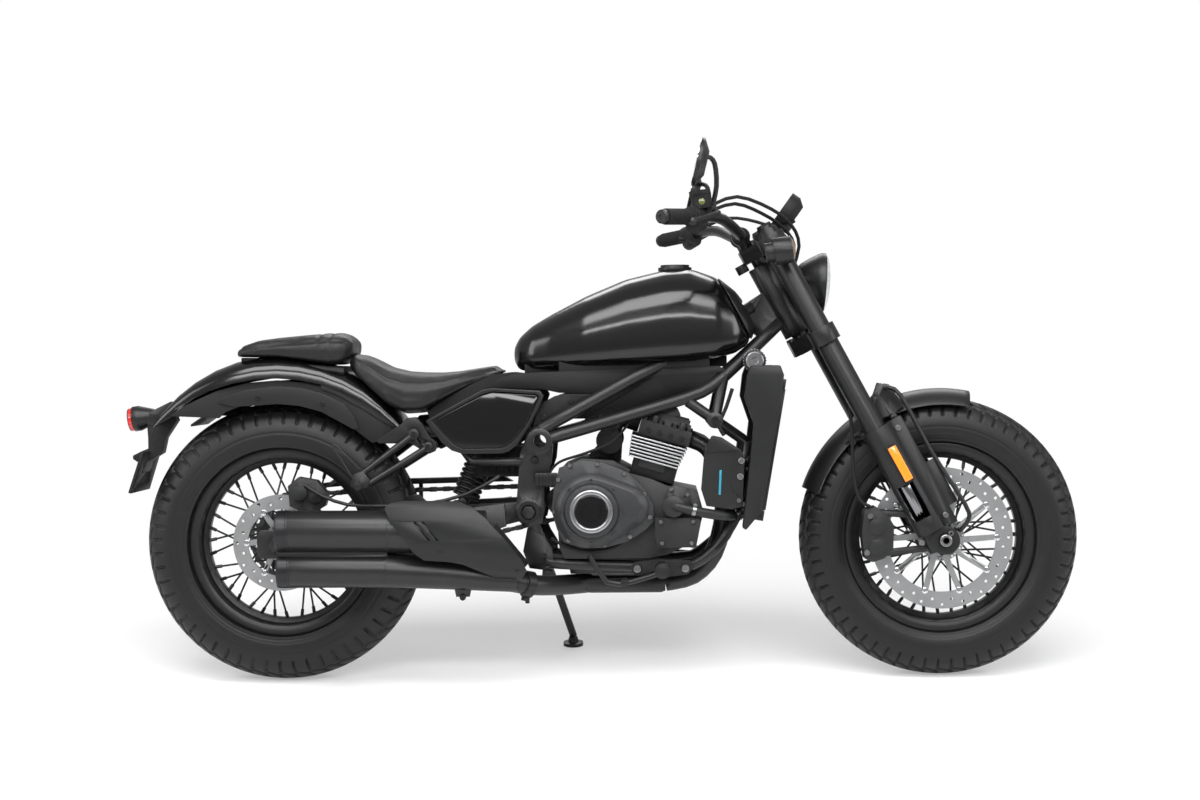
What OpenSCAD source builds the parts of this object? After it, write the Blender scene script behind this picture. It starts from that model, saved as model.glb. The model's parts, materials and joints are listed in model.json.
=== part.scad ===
/* [Stance] */
// Distance between the wheel axles
wheelbase = 1500; // [1460:5:1540]
// Lean to the left on the side stand, degrees
lean = 8; // [7:0.5:9]
// Rake of the steering axis, degrees
rake = 28; // [27:0.5:29]

/* [Wheels] */
// Outer radius of the front tyre
front_tyre_r = 317; // [312:1:320]
// Outer radius of the rear tyre
rear_tyre_r = 320; // [315:1:323]
// Section width of the front tyre
front_tyre_w = 130; // [120:2:134]
// Section width of the rear tyre
rear_tyre_w = 150; // [140:2:152]
// Radius of the rim flanges
rim_r = 217; // [214:1:219]
// Number of wire spokes in a wheel
spoke_count = 36; // [24:6:36]
// Diameter of a spoke
spoke_d = 4.5; // [3.5:0.5:6]
// Radius of the front brake disc
front_disc_r = 160; // [150:2:162]
// Radius of the rear brake disc
rear_disc_r = 110; // [100:2:116]
// Thickness of the brake discs
disc_t = 5; // [4:0.5:6]
// Bore through the hollow front axle
axle_bore = 14; // [10:1:16]

/* [Fork] */
// Distance from the bike's centre plane to a fork leg's axis
fork_y = 110; // [107:1:114]
// Distance of the fork legs ahead of the steering axis
yoke_offset = 42; // [38:1:46]
// Distance of the axle ahead of the fork legs
axle_lead = 18; // [14:1:20]
// Diameter of the outer fork tubes
fork_tube_d = 50; // [46:1:52]
// Diameter of the sliding fork tubes
stanchion_d = 41; // [38:1:43]

/* [Handlebar] */
// Half the width over the grips
bar_half = 415; // [390:5:430]
// Diameter of the handlebar
bar_d = 25; // [22:1:28]

/* [Frame] */
// Diameter of the trellis tubes
trellis_d = 28; // [25:1:31]
// Half the width of the frame at the swingarm pivot
pivot_half = 122; // [118:1:126]
// Height of the swingarm pivot
pivot_z = 389; // [384:1:394]
// Distance of the swingarm pivot ahead of the rear axle
pivot_x = 570; // [564:1:576]

/* [Body] */
// Half the width of the fuel tank at its widest
tank_half = 143; // [130:1:150]
// Half the width of the rear fender
fender_half = 100; // [98:1:106]
// Radius of the upper silencer
silencer_r = 47; // [42:1:49]
// Half the width of the rider's seat
seat_half = 138; // [128:2:146]

/* [Chain] */
// Pitch radius of the chain on the rear sprocket
rear_sprocket_r = 100; // [94:1:104]
// Pitch radius of the chain on the front sprocket
front_sprocket_r = 38; // [36:1:42]
// Distance from the centre plane to the chain line
chain_y = 92; // [90:1:94]

/* [Hidden] */
$fn = 48;
// radial clearance of a running fit
fit = 0.05;
// clearance between pieces that seat on each other
gap = 0.3;

front_x = wheelbase;
lift = (rear_tyre_w / 2) * (1 - cos(lean));
// shift of the row frame: middle of the length, and middle of the width when leaning
shift_x = (wheelbase + front_tyre_r - 370) / 2;
shift_y = 148;
// foot of the perpendicular from the front axle to the steering axis
fork_reach = yoke_offset + axle_lead;
foot_x = front_x - fork_reach * cos(rake);
foot_z = front_tyre_r - fork_reach * sin(rake);
rim_w_front = 44;
rim_w_rear = 51;
hub_half = 62;

// leans the upright bike onto its stand and puts it in the row frame
module place() {
  translate([-shift_x, -shift_y, lift]) rotate([-lean, 0, 0]) children();
}

// axes of the fork: z up along the steering axis, x forward, origin abreast of the axle
module fork_space() {
  translate([foot_x, 0, foot_z]) rotate([0, -rake, 0]) children();
}

module both() {
  children();
  mirror([0, 1, 0]) children();
}

// outline in side view, as thick as from y0 to y1
module plate(pts, y0, y1) {
  translate([0, y1, 0]) rotate([90, 0, 0]) linear_extrude(y1 - y0) polygon(pts);
}

module disc(x, z, r, y0, y1) {
  translate([x, y1, z]) rotate([90, 0, 0]) cylinder(h = y1 - y0, r = r);
}

// straight round bar from point a to point b
module rod(a, b, r) {
  v = b - a;
  translate(a) rotate([0, acos(v[2] / norm(v)), atan2(v[1], v[0])]) cylinder(h = norm(v), r = r);
}

function unit(v) = v / norm(v);
function along(p, i) = i == 0 ? unit(p[1] - p[0])
  : i == len(p) - 1 ? unit(p[i] - p[i - 1])
  : unit(unit(p[i + 1] - p[i]) + unit(p[i] - p[i - 1]));
function blend4(a, b, c, d, t) =
  0.5 * (2 * b + (c - a) * t + (2 * a - 5 * b + 4 * c - d) * t * t + (3 * b - a - 3 * c + d) * t * t * t);
// smooth route through the points of p, k steps a stretch
function route(p, k) = concat(
  [for (i = [0:len(p) - 2]) for (j = [0:k - 1])
    blend4(p[max(i - 1, 0)], p[i], p[i + 1], p[min(i + 2, len(p) - 1)], j / k)],
  [p[len(p) - 1]]);
function ring(c, t, side, r, n) =
  let (a = unit(cross(side, t)), b = cross(t, a))
  [for (k = [0:n - 1]) c + r * cos(360 * k / n) * a + r * sin(360 * k / n) * b];

// solid through closed rings of equal length
module skin(rings) {
  n = len(rings[0]);
  m = len(rings);
  faces = concat(
    [[for (k = [0:n - 1]) k]],
    [[for (k = [n - 1:-1:0]) (m - 1) * n + k]],
    [for (i = [0:m - 2]) for (k = [0:n - 1]) [i * n + k, (i + 1) * n + k, i * n + (k + 1) % n]],
    [for (i = [0:m - 2]) for (k = [0:n - 1])
      [(i + 1) * n + k, (i + 1) * n + (k + 1) % n, i * n + (k + 1) % n]]);
  polyhedron([for (s = rings) each s], faces, convexity = 6);
}

// bent tube along p; side is a direction that no stretch runs along
module bent(p, r, n = 12, side = [0, 1, 0]) {
  skin([for (i = [0:len(p) - 1]) ring(p[i], along(p, i), side, r, n)]);
}

// closed section across the bike: half width w, bottom b, widest height m, top t
function section(x, w, b, m, t, up, low, n) =
  [for (k = [0:n - 1]) let (a = 360 * k / n, c = cos(a), s = sin(a))
    [x, w * sign(c) * pow(abs(c), s >= 0 ? up : low),
      s >= 0 ? m + (t - m) * pow(s, up) : m - (m - b) * pow(-s, low)]];
// body through rows of [x, half width, bottom, widest height, top]
module body(rows, up = 0.85, low = 0.6, n = 28) {
  skin([for (q = rows) section(q[0], q[1], q[2], q[3], q[4], up, low, n)]);
}

// Wheels
// turns about the axle: x of the profile is the radius, y is across the bike
module about_axle(x, z) {
  translate([x, 0, z]) rotate([90, 0, 0]) rotate_extrude($fn = 96) children();
}

module tyre(x, r, w, rim_w) {
  about_axle(x, r) union() {
    intersection() {
      translate([r - w / 2, 0]) circle(d = w, $fn = 64);
      translate([rim_r + gap, -w / 2]) square([w, w]);
    }
    translate([rim_r - 15 + gap, -rim_w + 4 + gap]) square([16, 2 * (rim_w - 4 - gap)]);
  }
}

module rim(x, r, rim_w) {
  bed = rim_r - 15;
  about_axle(x, r) polygon([
    [rim_r, -rim_w - 2], [rim_r, -rim_w + 3], [bed, -rim_w + 4], [bed, rim_w - 4], [rim_r, rim_w - 3],
    [rim_r, rim_w + 2], [rim_r - 8, rim_w + 4], [rim_r - 24, rim_w - 1], [rim_r - 26, 16],
    [rim_r - 38, 12], [rim_r - 38, -12], [rim_r - 26, -16], [rim_r - 24, -rim_w + 1], [rim_r - 8,
      -rim_w - 4]]);
}

// wire spokes in crossed pairs from the hub's flanges to the rim
module spokes(x, r, hub_r, hub_y) {
  step = 360 / spoke_count;
  for (i = [0:spoke_count - 1]) {
    edge = i % 2 == 0 ? 1 : -1;
    twist = i % 4 < 2 ? 34 : -34;
    a = i * step;
    rod([x + (rim_r - 36) * cos(a), edge * 4, r + (rim_r - 36) * sin(a)],
      [x + hub_r * cos(a + twist), edge * hub_y, r + hub_r * sin(a + twist)], spoke_d / 2, $fn = 12);
  }
}

module hub(x, r, barrel, flange, half, bore) {
  difference() {
    union() {
      disc(x, r, barrel, -half, half);
      both() disc(x, r, flange, 30, 36);
    }
    disc(x, r, bore, -half - 1, half + 1);
  }
  spokes(x, r, flange - 5, 33);
}

// floating disc: drilled ring, spider arms and inner ring, from y0 outward
module brake_disc(x, z, r, band, arms, y0) {
  hole_r = 3.5;
  inner = r - band;
  difference() {
    union() {
      difference() {
        disc(x, z, r, y0, y0 + disc_t);
        disc(x, z, inner, y0 - 1, y0 + disc_t + 1);
      }
      difference() {
        disc(x, z, 42, y0, y0 + disc_t);
        disc(x, z, 30, y0 - 1, y0 + disc_t + 1);
      }
      for (i = [0:arms - 1]) {
        translate([x, 0, z]) rotate([0, i * 360 / arms, 0])
          plate([[36, -12], [inner + 3, -5], [inner + 3, 7], [36, 2]], y0, y0 + disc_t);
      }
    }
    for (i = [0:4 * arms - 1]) {
      a = i * 90 / arms;
      q = r - (i % 2 == 0 ? 9 : 20);
      disc(x + q * cos(a), z + q * sin(a), hole_r, y0 - 1, y0 + disc_t + 1, $fn = 16);
    }
  }
}

module rear_tyre() place() color("#1b1b1c") tyre(0, rear_tyre_r, rear_tyre_w, rim_w_rear);
module rear_rim() place() color("#202022") rim(0, rear_tyre_r, rim_w_rear);
module rear_hub() place() color("#1c1c1e") hub(0, rear_tyre_r, 34, 62, hub_half, 12);
module rear_disc() place() color("#8d9094") {
  y0 = -hub_half - 6 - disc_t;
  brake_disc(0, rear_tyre_r, rear_disc_r, 34, 6, y0);
  difference() {
    disc(0, rear_tyre_r, 36, y0 + disc_t - 1, -hub_half - gap);
    disc(0, rear_tyre_r, 24, y0, 0);
  }
}

// toothed ring and dish of the rear sprocket, inside the chain's roller line
module rear_sprocket() place() color("#55575a") {
  tip = rear_sprocket_r - 6;
  teeth = 38;
  y0 = chain_y - 3;
  translate([0, 0, rear_tyre_r]) difference() {
    union() {
      disc(0, 0, tip - 5, y0, y0 + 6);
      for (i = [0:teeth - 1]) rotate([0, i * 360 / teeth, 0])
        plate([[tip - 8, -5], [tip, -1.5], [tip, 1.5], [tip - 8, 5]], y0, y0 + 6);
      disc(0, 0, 50, hub_half + gap, y0 + 1);
    }
    disc(0, 0, 12, 0, 200);
    for (i = [0:5]) rotate([0, i * 60, 0]) disc(70, 0, 13, y0 - 1, y0 + 7);
  }
}

module front_tyre() place() color("#1b1b1c") tyre(front_x, front_tyre_r, front_tyre_w, rim_w_front);
module front_rim() place() color("#202022") rim(front_x, front_tyre_r, rim_w_front);
module front_hub() place() color("#1c1c1e") hub(front_x, front_tyre_r, 26, 50, hub_half, 11);
module front_disc() place() color("#8d9094") {
  y0 = -hub_half - gap - 5 - disc_t;
  brake_disc(front_x, front_tyre_r, front_disc_r, 38, 10, y0);
  difference() {
    disc(front_x, front_tyre_r, 36, y0 + disc_t - 1, -hub_half - gap);
    disc(front_x, front_tyre_r, 24, y0, 0);
  }
  difference() {
    disc(front_x, front_tyre_r, 52, y0 + disc_t, y0 + disc_t + 2);
    disc(front_x, front_tyre_r, 44, y0, y0 + disc_t + 3);
    for (i = [0:35]) translate([front_x, 0, front_tyre_r]) rotate([0, i * 10, 0])
      plate([[46, -1.6], [50, -1.6], [50, 1.6], [46, 1.6]], y0, y0 + disc_t + 3);
  }
}

// Chassis
head_low = 560;
head_high = 738;
stem_r = 15;
trellis_r = trellis_d / 2;
lug_x = 597;
lug_z = 548;

// trellis routes, right half: columns x, y, z
upper_tube = [[600, pivot_half + 14, 574], [730, pivot_half + 2, 644], [810, 112, 688], [880, 84, 722],
  [980, 60, 786], [1080, 32, 846]];
lower_tube = [[612, pivot_half + 14, 552], [700, pivot_half + 12, 576], [820, 122, 610], [930, 112, 642],
  [985, 100, 667], [1050, 70, 722], [1142, 30, 808]];
cradle_tube = [[606, pivot_half - 8, 274], [700, 107, 267], [900, 103, 262], [960, 98, 278], [1012, 88,
  330],
  [1038, 80, 400], [1060, 86, 540]];

module frame() place() color("#1d1e20") {
  difference() {
    union() {
      fork_space() translate([0, 0, head_low]) cylinder(h = head_high - head_low, r = 30);
      both() {
        bent(route(upper_tube, 2), trellis_r);
        bent(route(lower_tube, 2), trellis_r);
        bent(route(cradle_tube, 2), 13);
        rod([930, 113, 632], [1060, 86, 540], 12);
        radiator_space() translate([-8, 79, 98]) cube([25.7, 14, 14]);
        rod([1012, 90, 690], [990, 102, 590], 12);
        disc(990, 590, 18, 88, 124);
        disc(lug_x, lug_z, 29, pivot_half - 6, pivot_half + 30);
        plate([[572, 575], [610, 590], [628, 560], [622, 500], [604, 450], [606, 395], [598, 362],
          [560, 352],
          [540, 380], [545, 440], [552, 520]], pivot_half - 14, pivot_half + 4);
        disc(pivot_x, pivot_z, 30, pivot_half - 14, pivot_half + 12);
        plate([[592, 365], [606, 330], [622, 304], [622, 268], [600, 258], [570, 262], [556, 300],
          [566, 352]],
          pivot_half - 12, pivot_half + 2);
        rod([575, 106, 572], [330, 102, 572], 12);
        rod([556, pivot_half, 502], [440, 112, 502], 9);
        rod([442, 112, 502], [400, 108, 560], 9);
      }
      // struts inside the rear fender and the tube that carries them
      both() plate([[100, 688], [150, 670], [200, 645], [250, 611], [290, 580], [345, 578], [345, 560],
        [284, 562], [240, 594], [190, 626], [140, 652], [100, 668]], 88 + gap, 91);
      rod([336, -116, 570], [336, 116, 570], 10);
      stand_space() translate([0, 0, -38]) cylinder(h = 38 - stand_eye / 2 - gap, r = 14);
      rod(stand_pivot - 30 * stand_axis, [604, 112, 280], 11);
      rod([585, -pivot_half, 505], [585, pivot_half, 505], 16);
      rod([572, -pivot_half, 310], [572, pivot_half, 310], 14);
      rod([400, -108, 566], [400, 108, 566], 12);
      plate([[1060, 850], [1104, 878], [1150, 800], [1100, 775], [1056, 800]], -34, 34);
    }
    fork_space() translate([0, 0, head_low - 1]) cylinder(h = head_high - head_low + 2, r = stem_r + 5);
    disc(lug_x, lug_z, 15, -200, 200);
    disc(pivot_x, pivot_z, 10, -200, 200);
  }
  // pin of the side stand, headed outside its eye
  stand_space() {
    translate([0, 0, -20]) cylinder(h = 20 + stand_eye / 2 + 2, r = stand_pin_r);
    translate([0, 0, stand_eye / 2 + gap]) cylinder(h = 5, r = 12);
  }
}

module subframe_castings() place() color("#8b8d90") both() {
  difference() {
    plate([[286, 590], [298, 603], [320, 605], [334, 588], [352, 558], [366, 548], [362, 528], [348, 522],
      [332, 530], [306, 546], [235, 546], [228, 552]], 116.3, 132);
    disc(315, 567, 7, 0, 200);
    disc(347, 538, 6, 0, 200);
  }
}

// swingarm: two boxed legs, pivot tube, cross brace, slotted axle ends
module swingarm() place() color("#232426") {
  leg_in = 84;
  difference() {
    union() {
      disc(pivot_x, pivot_z, 26, -pivot_half + 15, pivot_half - 15);
      both() {
        plate([[pivot_x - 56, pivot_z + 19], [60, 352], [-38, 352], [-46, 340], [-46, 296], [-38, 288],
          [60, 290], [400, 318], [pivot_x - 52, pivot_z - 33]], 103, 121);
        plate([[pivot_x - 10, pivot_z + 20], [380, 402], [350, 380], [352, 340], [400, 330],
          [pivot_x - 10, pivot_z - 20]], leg_in, 104);
      }
      plate([[352, 345], [352, 384], [400, 400], [420, 360], [400, 338]], -leg_in - 1, leg_in + 1);
    }
    disc(pivot_x, pivot_z, 10, -200, 200);
    disc(0, rear_tyre_r, 12, -200, 200);
    plate([[20, 310], [20, 330], [-30, 330], [-30, 310]], 103 + 12, 140);
  }
  // rear axle and pivot bolt with their nuts
  disc(0, rear_tyre_r, 11.9, -130, 130);
  both() disc(0, rear_tyre_r, 17, 121 + gap, 134, $fn = 6);
  disc(pivot_x, pivot_z, 9.9, -pivot_half - 20, pivot_half + 20);
  both() disc(pivot_x, pivot_z, 15, pivot_half + 12 + gap, pivot_half + 24, $fn = 6);
  // chain guard on the left leg
  plate([[120, 452], [500, 458], [520, 446], [300, 442], [120, 439], [60, 434], [60, 444]], 80, 110);
  rod([300, 108, 375], [300, 108, 445], 5);
}

// spring and damper between the swingarm and the frame
module rear_shock() place() color("#2a2b2d") {
  axis_a = [410.9, 0, 403.4];
  axis_b = [470, 0, 548];
  v = axis_b - axis_a;
  translate(axis_a) rotate([0, atan2(v[0], v[2]), 0]) {
    cylinder(h = norm(v), r = 14);
    rotate_extrude() {
      translate([16, 14]) square([10, norm(v) - 34]);
      for (i = [0:8]) translate([27, 24 + i * 12]) circle(r = 5, $fn = 24);
    }
    translate([0, 0, 14]) cylinder(h = 6, r = 32);
    translate([0, 0, norm(v) - 24]) cylinder(h = 10, r = 32);
  }
  rod([472, -60, 552], [472, 60, 552], 11);
  rod([410.9, -30, 403.4], [410.9, 30, 403.4], 11);
}

// two ribbed boxes for battery and wiring, one each side of the shock
module battery_box() place() color("#1c1c1d") {
  for (side = [-1, 1]) {
    plate([[448, 474], [456, 466], [569 - gap, 466], [569 - gap, 536], [500, 536], [448, 520]],
      side > 0 ? 36 : -78, side > 0 ? 78 : -36);
    for (x = [462:14:560])
      plate([[x, 472], [x + 5, 472], [x + 5, 516], [x, 516]], side > 0 ? 77 : -82, side > 0 ? 82 : -77);
  }
}

// Engine
case_right = -128;
case_left = 112;
crank_x = 712;
crank_z = 392;
head_tilt = 16;
fin_count = 7;
fin_pitch = 7.5;
fin_first = 51;

module crankcase() place() color("#2b2c2e") {
  difference() {
    plate([[638, 455], [648, 490], [690, 508], [760, 502], [805, 478], [880, 445], [950, 430], [962, 385],
      [945, 320], [880, 290], [840, 283], [650, 283], [638, 306], [634, 360]], case_right, case_left);
    // room for the chain round its front sprocket, and the barrels' seat
    plate([[600, 448], [690, 448], [690, 350], [600, 350]], chain_y - 12, case_left + 1);
    barrel_space() barrel_box(-54 - gap, 48 + gap, 136, 14 - gap, 90);
  }
  plate([[853, 374], [950, 374], [956, 366], [944, 308], [860, 308], [853, 330]], case_right - 24,
    case_right);
  plate([[660, 243], [845, 243], [866, 284], [650, 284]], -70, 70);
}

module clutch_cover() place() color("#343537") {
  y = case_right;
  plate([[628, 440], [640, 488], [690, 505], [735, 500], [792, 478], [832, 438], [850, 402], [850, 366],
    [832, 348], [792, 322], [740, 308], [690, 308], [650, 322], [634, 350], [622, 392]], y - 18, y);
  hull() {
    disc(crank_x, crank_z, 84, y - 24, y - 18, $fn = 32);
    disc(788, 400, 50, y - 24, y - 18, $fn = 32);
    disc(crank_x, crank_z, 70, y - 36, y - 18, $fn = 32);
    disc(782, 400, 38, y - 36, y - 18, $fn = 32);
  }
  disc(crank_x, crank_z, 58, y - 46, y - 30);
  difference() {
    disc(crank_x, crank_z, 48, y - 54, y - 40);
    disc(crank_x, crank_z, 37, y - 60, y - 50);
  }
}

module generator_cover() place() color("#343537") {
  y = case_left;
  plate([[650, 322], [640, 400], [660, 460], [720, 488], [790, 470], [836, 430], [846, 392], [828, 350],
    [780, 318], [720, 304]], y, y + 16);
  disc(744, 396, 66, y + 14, y + 30);
  disc(744, 396, 46, y + 28, y + 42);
  // cover of the front sprocket
  plate([[634, 444], [690, 456], [690, 342], [640, 348]], y + gap, y + 14);
}

module barrel_space() {
  translate([845, 0, 446]) rotate([0, head_tilt, 0]) children();
}
module barrel_box(x0, x1, half, z0, z1) {
  translate([x0, -half, z0]) cube([x1 - x0, 2 * half, z1 - z0]);
}

module cylinder_block() place() color("#9a9c9f") barrel_space() {
  barrel_box(-54, 48, 108, 14, fin_first + fin_count * fin_pitch);
  for (i = [0:fin_count - 1]) {
    z = fin_first + i * fin_pitch;
    barrel_box(-66 - i, 48 + 1.5 * i, 136, z, z + 3.4);
  }
  both() barrel_box(-40, 20, 124, 34, fin_first);
}

module cylinder_head() place() color("#232426") barrel_space() {
  z = fin_first + fin_count * fin_pitch;
  difference() {
    union() {
      barrel_box(-60, 58, 118, z, z + 34);
      barrel_box(-50, 48, 104, z + 34, z + 58);
      translate([-1, -100, z + 54]) rotate([-90, 0, 0]) cylinder(h = 200, r = 26);
    }
    translate([-90, -60, z + 56]) cube([200, 120, 60]);
  }
  both() {
    translate([-30, 112, z + 34]) cylinder(h = 16, r = 8);
    translate([34, 112, z + 34]) cylinder(h = 16, r = 8);
  }
}

// air box under the tank and the two throttle bodies
module airbox() place() color("#222325") {
  plate([[640, 596], [655, 640], [700, 672], [850, 692], [960, 700], [940, 672], [860, 650], [800, 624],
    [740, 596]], -92, 92);
  both() {
    rod([776, 52, 602.9], [822.8, 52, 587.5], 25);
    plate([[702, 510], [760, 504], [776, 497], [779, 540], [770, 600], [742, 600], [735, 545], [715,
      524]], 10, 62);
    disc(752, 546, 30, 60, 96);
    rod([756, 86, 550], [782, 62, 598], 12);
  }
}

hose_path = [[895, -156, 402], [940, -160, 390], [1000, -142, 378], [1030, -112, 376], [1044, -105, 382],
  [1056, -104, 384]];
module water_pump() place() color("#303133") {
  disc(895, 400, 24, case_right - 34, case_right);
  plate([[880, 436], [900, 448], [930, 436], [936, 400], [915, 392], [880, 400]], case_right - 16,
    case_right);
  bent(route(hose_path, 3), 11, 14);
}

radiator_tilt = 10;
module radiator_space() {
  translate([1042, 0, 372]) rotate([0, radiator_tilt, 0]) children();
}

module radiator() place() color("#3a3b3d") radiator_space() {
  barrel_box(22, 50, 112, 0, 318);
  barrel_box(16, 54, 118, 0, 22);
  barrel_box(16, 54, 118, 300, 322);
  for (i = [0:33]) barrel_box(18, 55, 104, 26 + i * 8, 27.5 + i * 8);
  // filler neck with its ribbed cap, on the right
  translate([22, -92, 300]) cylinder(h = 44, r = 9);
  translate([-22, -85, 352]) rotate([90, 0, 0]) cylinder(h = 15, r = 25);
  translate([-30, -100, 322]) cube([56, 15, 12]);
}

module radiator_shroud() place() color("#5d5f62") both() {
  plate([[1062, 690], [1070, 712], [1136, 712], [1144, 690], [1132, 600], [1090, 385], [1056, 345],
    [1048, 350], [1062, 470], [1076, 580], [1056, 640]], 119, 150);
}

module coolant_cover() place() color("#303133") {
  plate([[957, 436], [966, 530], [984, 556], [1004, 552], [1046, 524], [1054, 508], [1048, 398], [1024,
    392],
    [968, 400]], -152, -119);
  plate([[966, 520], [980, 556], [1040, 524]], -158, -152);
  // tab to the shroud beside the radiator
  plate([[1040, 498], [1065.2, 498], [1066.4, 508], [1040, 510]], -128, -122);
}

// Exhaust
// right header pipe: columns x, y, z
header_path = [[935, 46, 545], [974, 48, 524], [1004, 50, 460], [1010, 48, 370], [988, 42, 284],
  [940, 34, 232], [876, 30, 216]];
link_path = [[700, -30, 218], [640, -80, 219], [580, -142, 226], [520, -172, 240]];
silencer_y = -190;
silencer_z = 355;
lower_r = 39;
lower_y = -182;

module exhaust_pipes() place() color("#4a4b4e") {
  both() bent(route(header_path, 3), 19, 16);
  hull() {
    translate([695, -62, 202]) cube([180, 124, 30]);
    translate([705, -52, 197]) cube([160, 104, 38]);
  }
  bent(route(link_path, 3), 23, 16);
  rod([572, -148, 228], [560, -154, 231], 28);
}

module silencers() place() color("#303134") {
  upper = [[14, silencer_y, silencer_z], [478, silencer_y, silencer_z - 4]];
  difference() {
    rod(upper[0], upper[1], silencer_r);
    rod([0, silencer_y, silencer_z], [44, silencer_y, silencer_z], 24);
  }
  rod([478, silencer_y, silencer_z - 4], [548, silencer_y + 14, 262], 30);
  difference() {
    rod([14, lower_y, 268], [260, lower_y, 267], lower_r);
    rod([0, lower_y, 268], [44, lower_y, 268], 18);
  }
  skin([for (q = [[258, 38.8, 267], [380, 33, 256], [548, 25, 240]])
    [for (k = [0:31]) [q[0], lower_y + q[1] * cos(k * 11.25), q[2] + q[1] * sin(k * 11.25)]]]);
  plate([[16, 356], [16, 268], [260, 266], [260, 352]], lower_y - 22, lower_y + 24);
  // mounting tabs
  plate([[405, 232], [410, 206], [440, 206], [446, 232]], lower_y - 4, lower_y + 4);
  plate([[330, 392], [300, 430], [330, 434], [370, 396]], silencer_y + 10, silencer_y + 18);
  rod([315, silencer_y + 18, 424], [315, -121, 424], 7);
}

module heat_shield() place() color("#4b4d50") difference() {
  outline = [[258, 408], [270, 418], [300, 423], [420, 421], [452, 408], [482, 384], [522, 340], [560, 290],
    [570, 266], [560, 250], [540, 242], [500, 250], [430, 282], [400, 288], [345, 292], [322, 310],
    [300, 345], [270, 380]];
  intersection() {
    plate(outline, -300, -196);
    translate([0, -106, 340]) rotate([0, 90, 0]) difference() {
      cylinder(h = 700, r = 137.5, $fn = 96);
      translate([0, 0, -1]) cylinder(h = 702, r = 134.5, $fn = 96);
    }
  }
  for (x = [0, 18]) plate([[324 + x, 376], [327 + x, 378], [360 + x, 338], [357 + x, 335]], -300, -100);
}

// Tank
// columns x, half the width, bottom, height of the widest line, top
tank_rows = [[533, 16, 726, 742, 758], [546, 44, 706, 742, 782], [575, 70, 704, 744, 808],
  [620, 92, 705, 748, 834], [700, 0.84 * tank_half, 706, 758, 875], [790, 0.96 * tank_half, 709, 770, 912],
  [880, tank_half, 712, 780, 933], [940, 0.98 * tank_half, 716, 782, 936], [1000, 0.89 * tank_half,
    724, 784, 914],
  [1040, 0.76 * tank_half, 736, 786, 882], [1068, 0.6 * tank_half, 754, 790, 846],
  [1080, 0.42 * tank_half, 774, 796, 820]];

// space ahead of the slanted seam between tank and front trim
module trim_space(offset_x) {
  translate([1000 + offset_x, -200, 915]) rotate([0, -27, 0]) translate([0, 0, -250]) cube([250, 400, 500]);
}

// columns x, half the width, top of the tunnel over the frame's tubes
tunnel_rows = [[790, 114, 708], [830, 114, 718], [880, 102, 744], [980, 78, 806], [1080, 50, 868],
  [1130, 48, 912]];
module tunnel() {
  skin([for (q = tunnel_rows) [[q[0], -q[1], 640], [q[0], q[1], 640], [q[0], q[1], q[2]], [q[0], -q[1],
    q[2]]]]);
}

module fuel_tank() place() color("#08080a") difference() {
  body(tank_rows);
  tunnel();
  trim_space(0);
  translate([905, 0, 930]) cylinder(h = 30, r = 39);
}

module tank_trim() place() color("#1f2022") difference() {
  intersection() {
    body([for (q = tank_rows) [q[0] + 2, q[1] + 1.5, q[2] - 1, q[3], q[4] + 1.5]]);
    trim_space(gap);
  }
  tunnel();
}

module filler_cap() place() color("#303133") {
  translate([905, 0, 930 + gap]) cylinder(h = 8, r = 38.5);
  translate([905, 0, 934]) cylinder(h = 10, r = 33);
}

module tank_panels() place() color("#303133") both() difference() {
  union() {
  // matte rail under the tank, from the seat's nose to the head
  plate([[478, 668], [500, 688], [540, 699], [600, 702], [1000, 712], [1020, 700], [960, 692], [860, 690],
    [720, 653], [640, 655], [600, 664], [520, 668]], 92, 98);
  plate([[690, 590], [760, 632], [860, 692], [960, 694], [1004, 702], [962, 664], [900, 640], [702,
    584]], 93, 97);
  // grey plate behind the upper tube
  plate([[582, 580], [590, 612], [604, 634], [630, 648], [648, 653], [712, 652], [700, 642], [640, 606]],
    pivot_half - 4, pivot_half + 1);
  rod([660, 96, 640], [660, pivot_half - 3, 640], 7);
  }
  bent(route(upper_tube, 2), trellis_r + gap);
  bent(route(lower_tube, 2), trellis_r + gap);
}

cover_outline = [[342, 596], [470, 664], [490, 668], [600, 661], [607, 650], [600, 630], [572, 577],
  [546, 540],
  [526, 525], [510, 521], [425, 521], [400, 529], [378, 546]];
module side_covers() place() color("#19191b") both() {
  difference() {
    plate(cover_outline, pivot_half + 1 + gap, 140);
    disc(lug_x, lug_z, 29 + gap, 100, 200);
    plate([[356, 596], [470, 654], [492, 660], [592, 653], [596, 645], [574, 596], [546, 556], [524, 538],
      [508, 533], [424, 533], [402, 544], [378, 570]], 134, 160);
  }
}

module side_panels() place() color("#0a0a0c") both()
  plate([[358, 596], [471, 652.6], [492, 658.5], [590.5, 651.5], [594, 645], [572.5, 597], [545, 557.5],
    [523, 539.5], [507.5, 534.5], [424.5, 534.5], [403, 545], [380, 570]], 134.3, 142);

// Seats and fenders
top_x = -5;
top_z = 400;
top_r = 347;
edge_x = -10;
edge_z = 282;
edge_r = 413;
function crown(x) = top_z + sqrt(top_r * top_r - (x - top_x) * (x - top_x));
function hem(x) = edge_z + sqrt(edge_r * edge_r - (x - edge_x) * (x - edge_x));
fender_xs = [-290, -270, -235, -195, -150, -100, -50, 0, 50, 100, 150, 195, 235, 265, 284];
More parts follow.
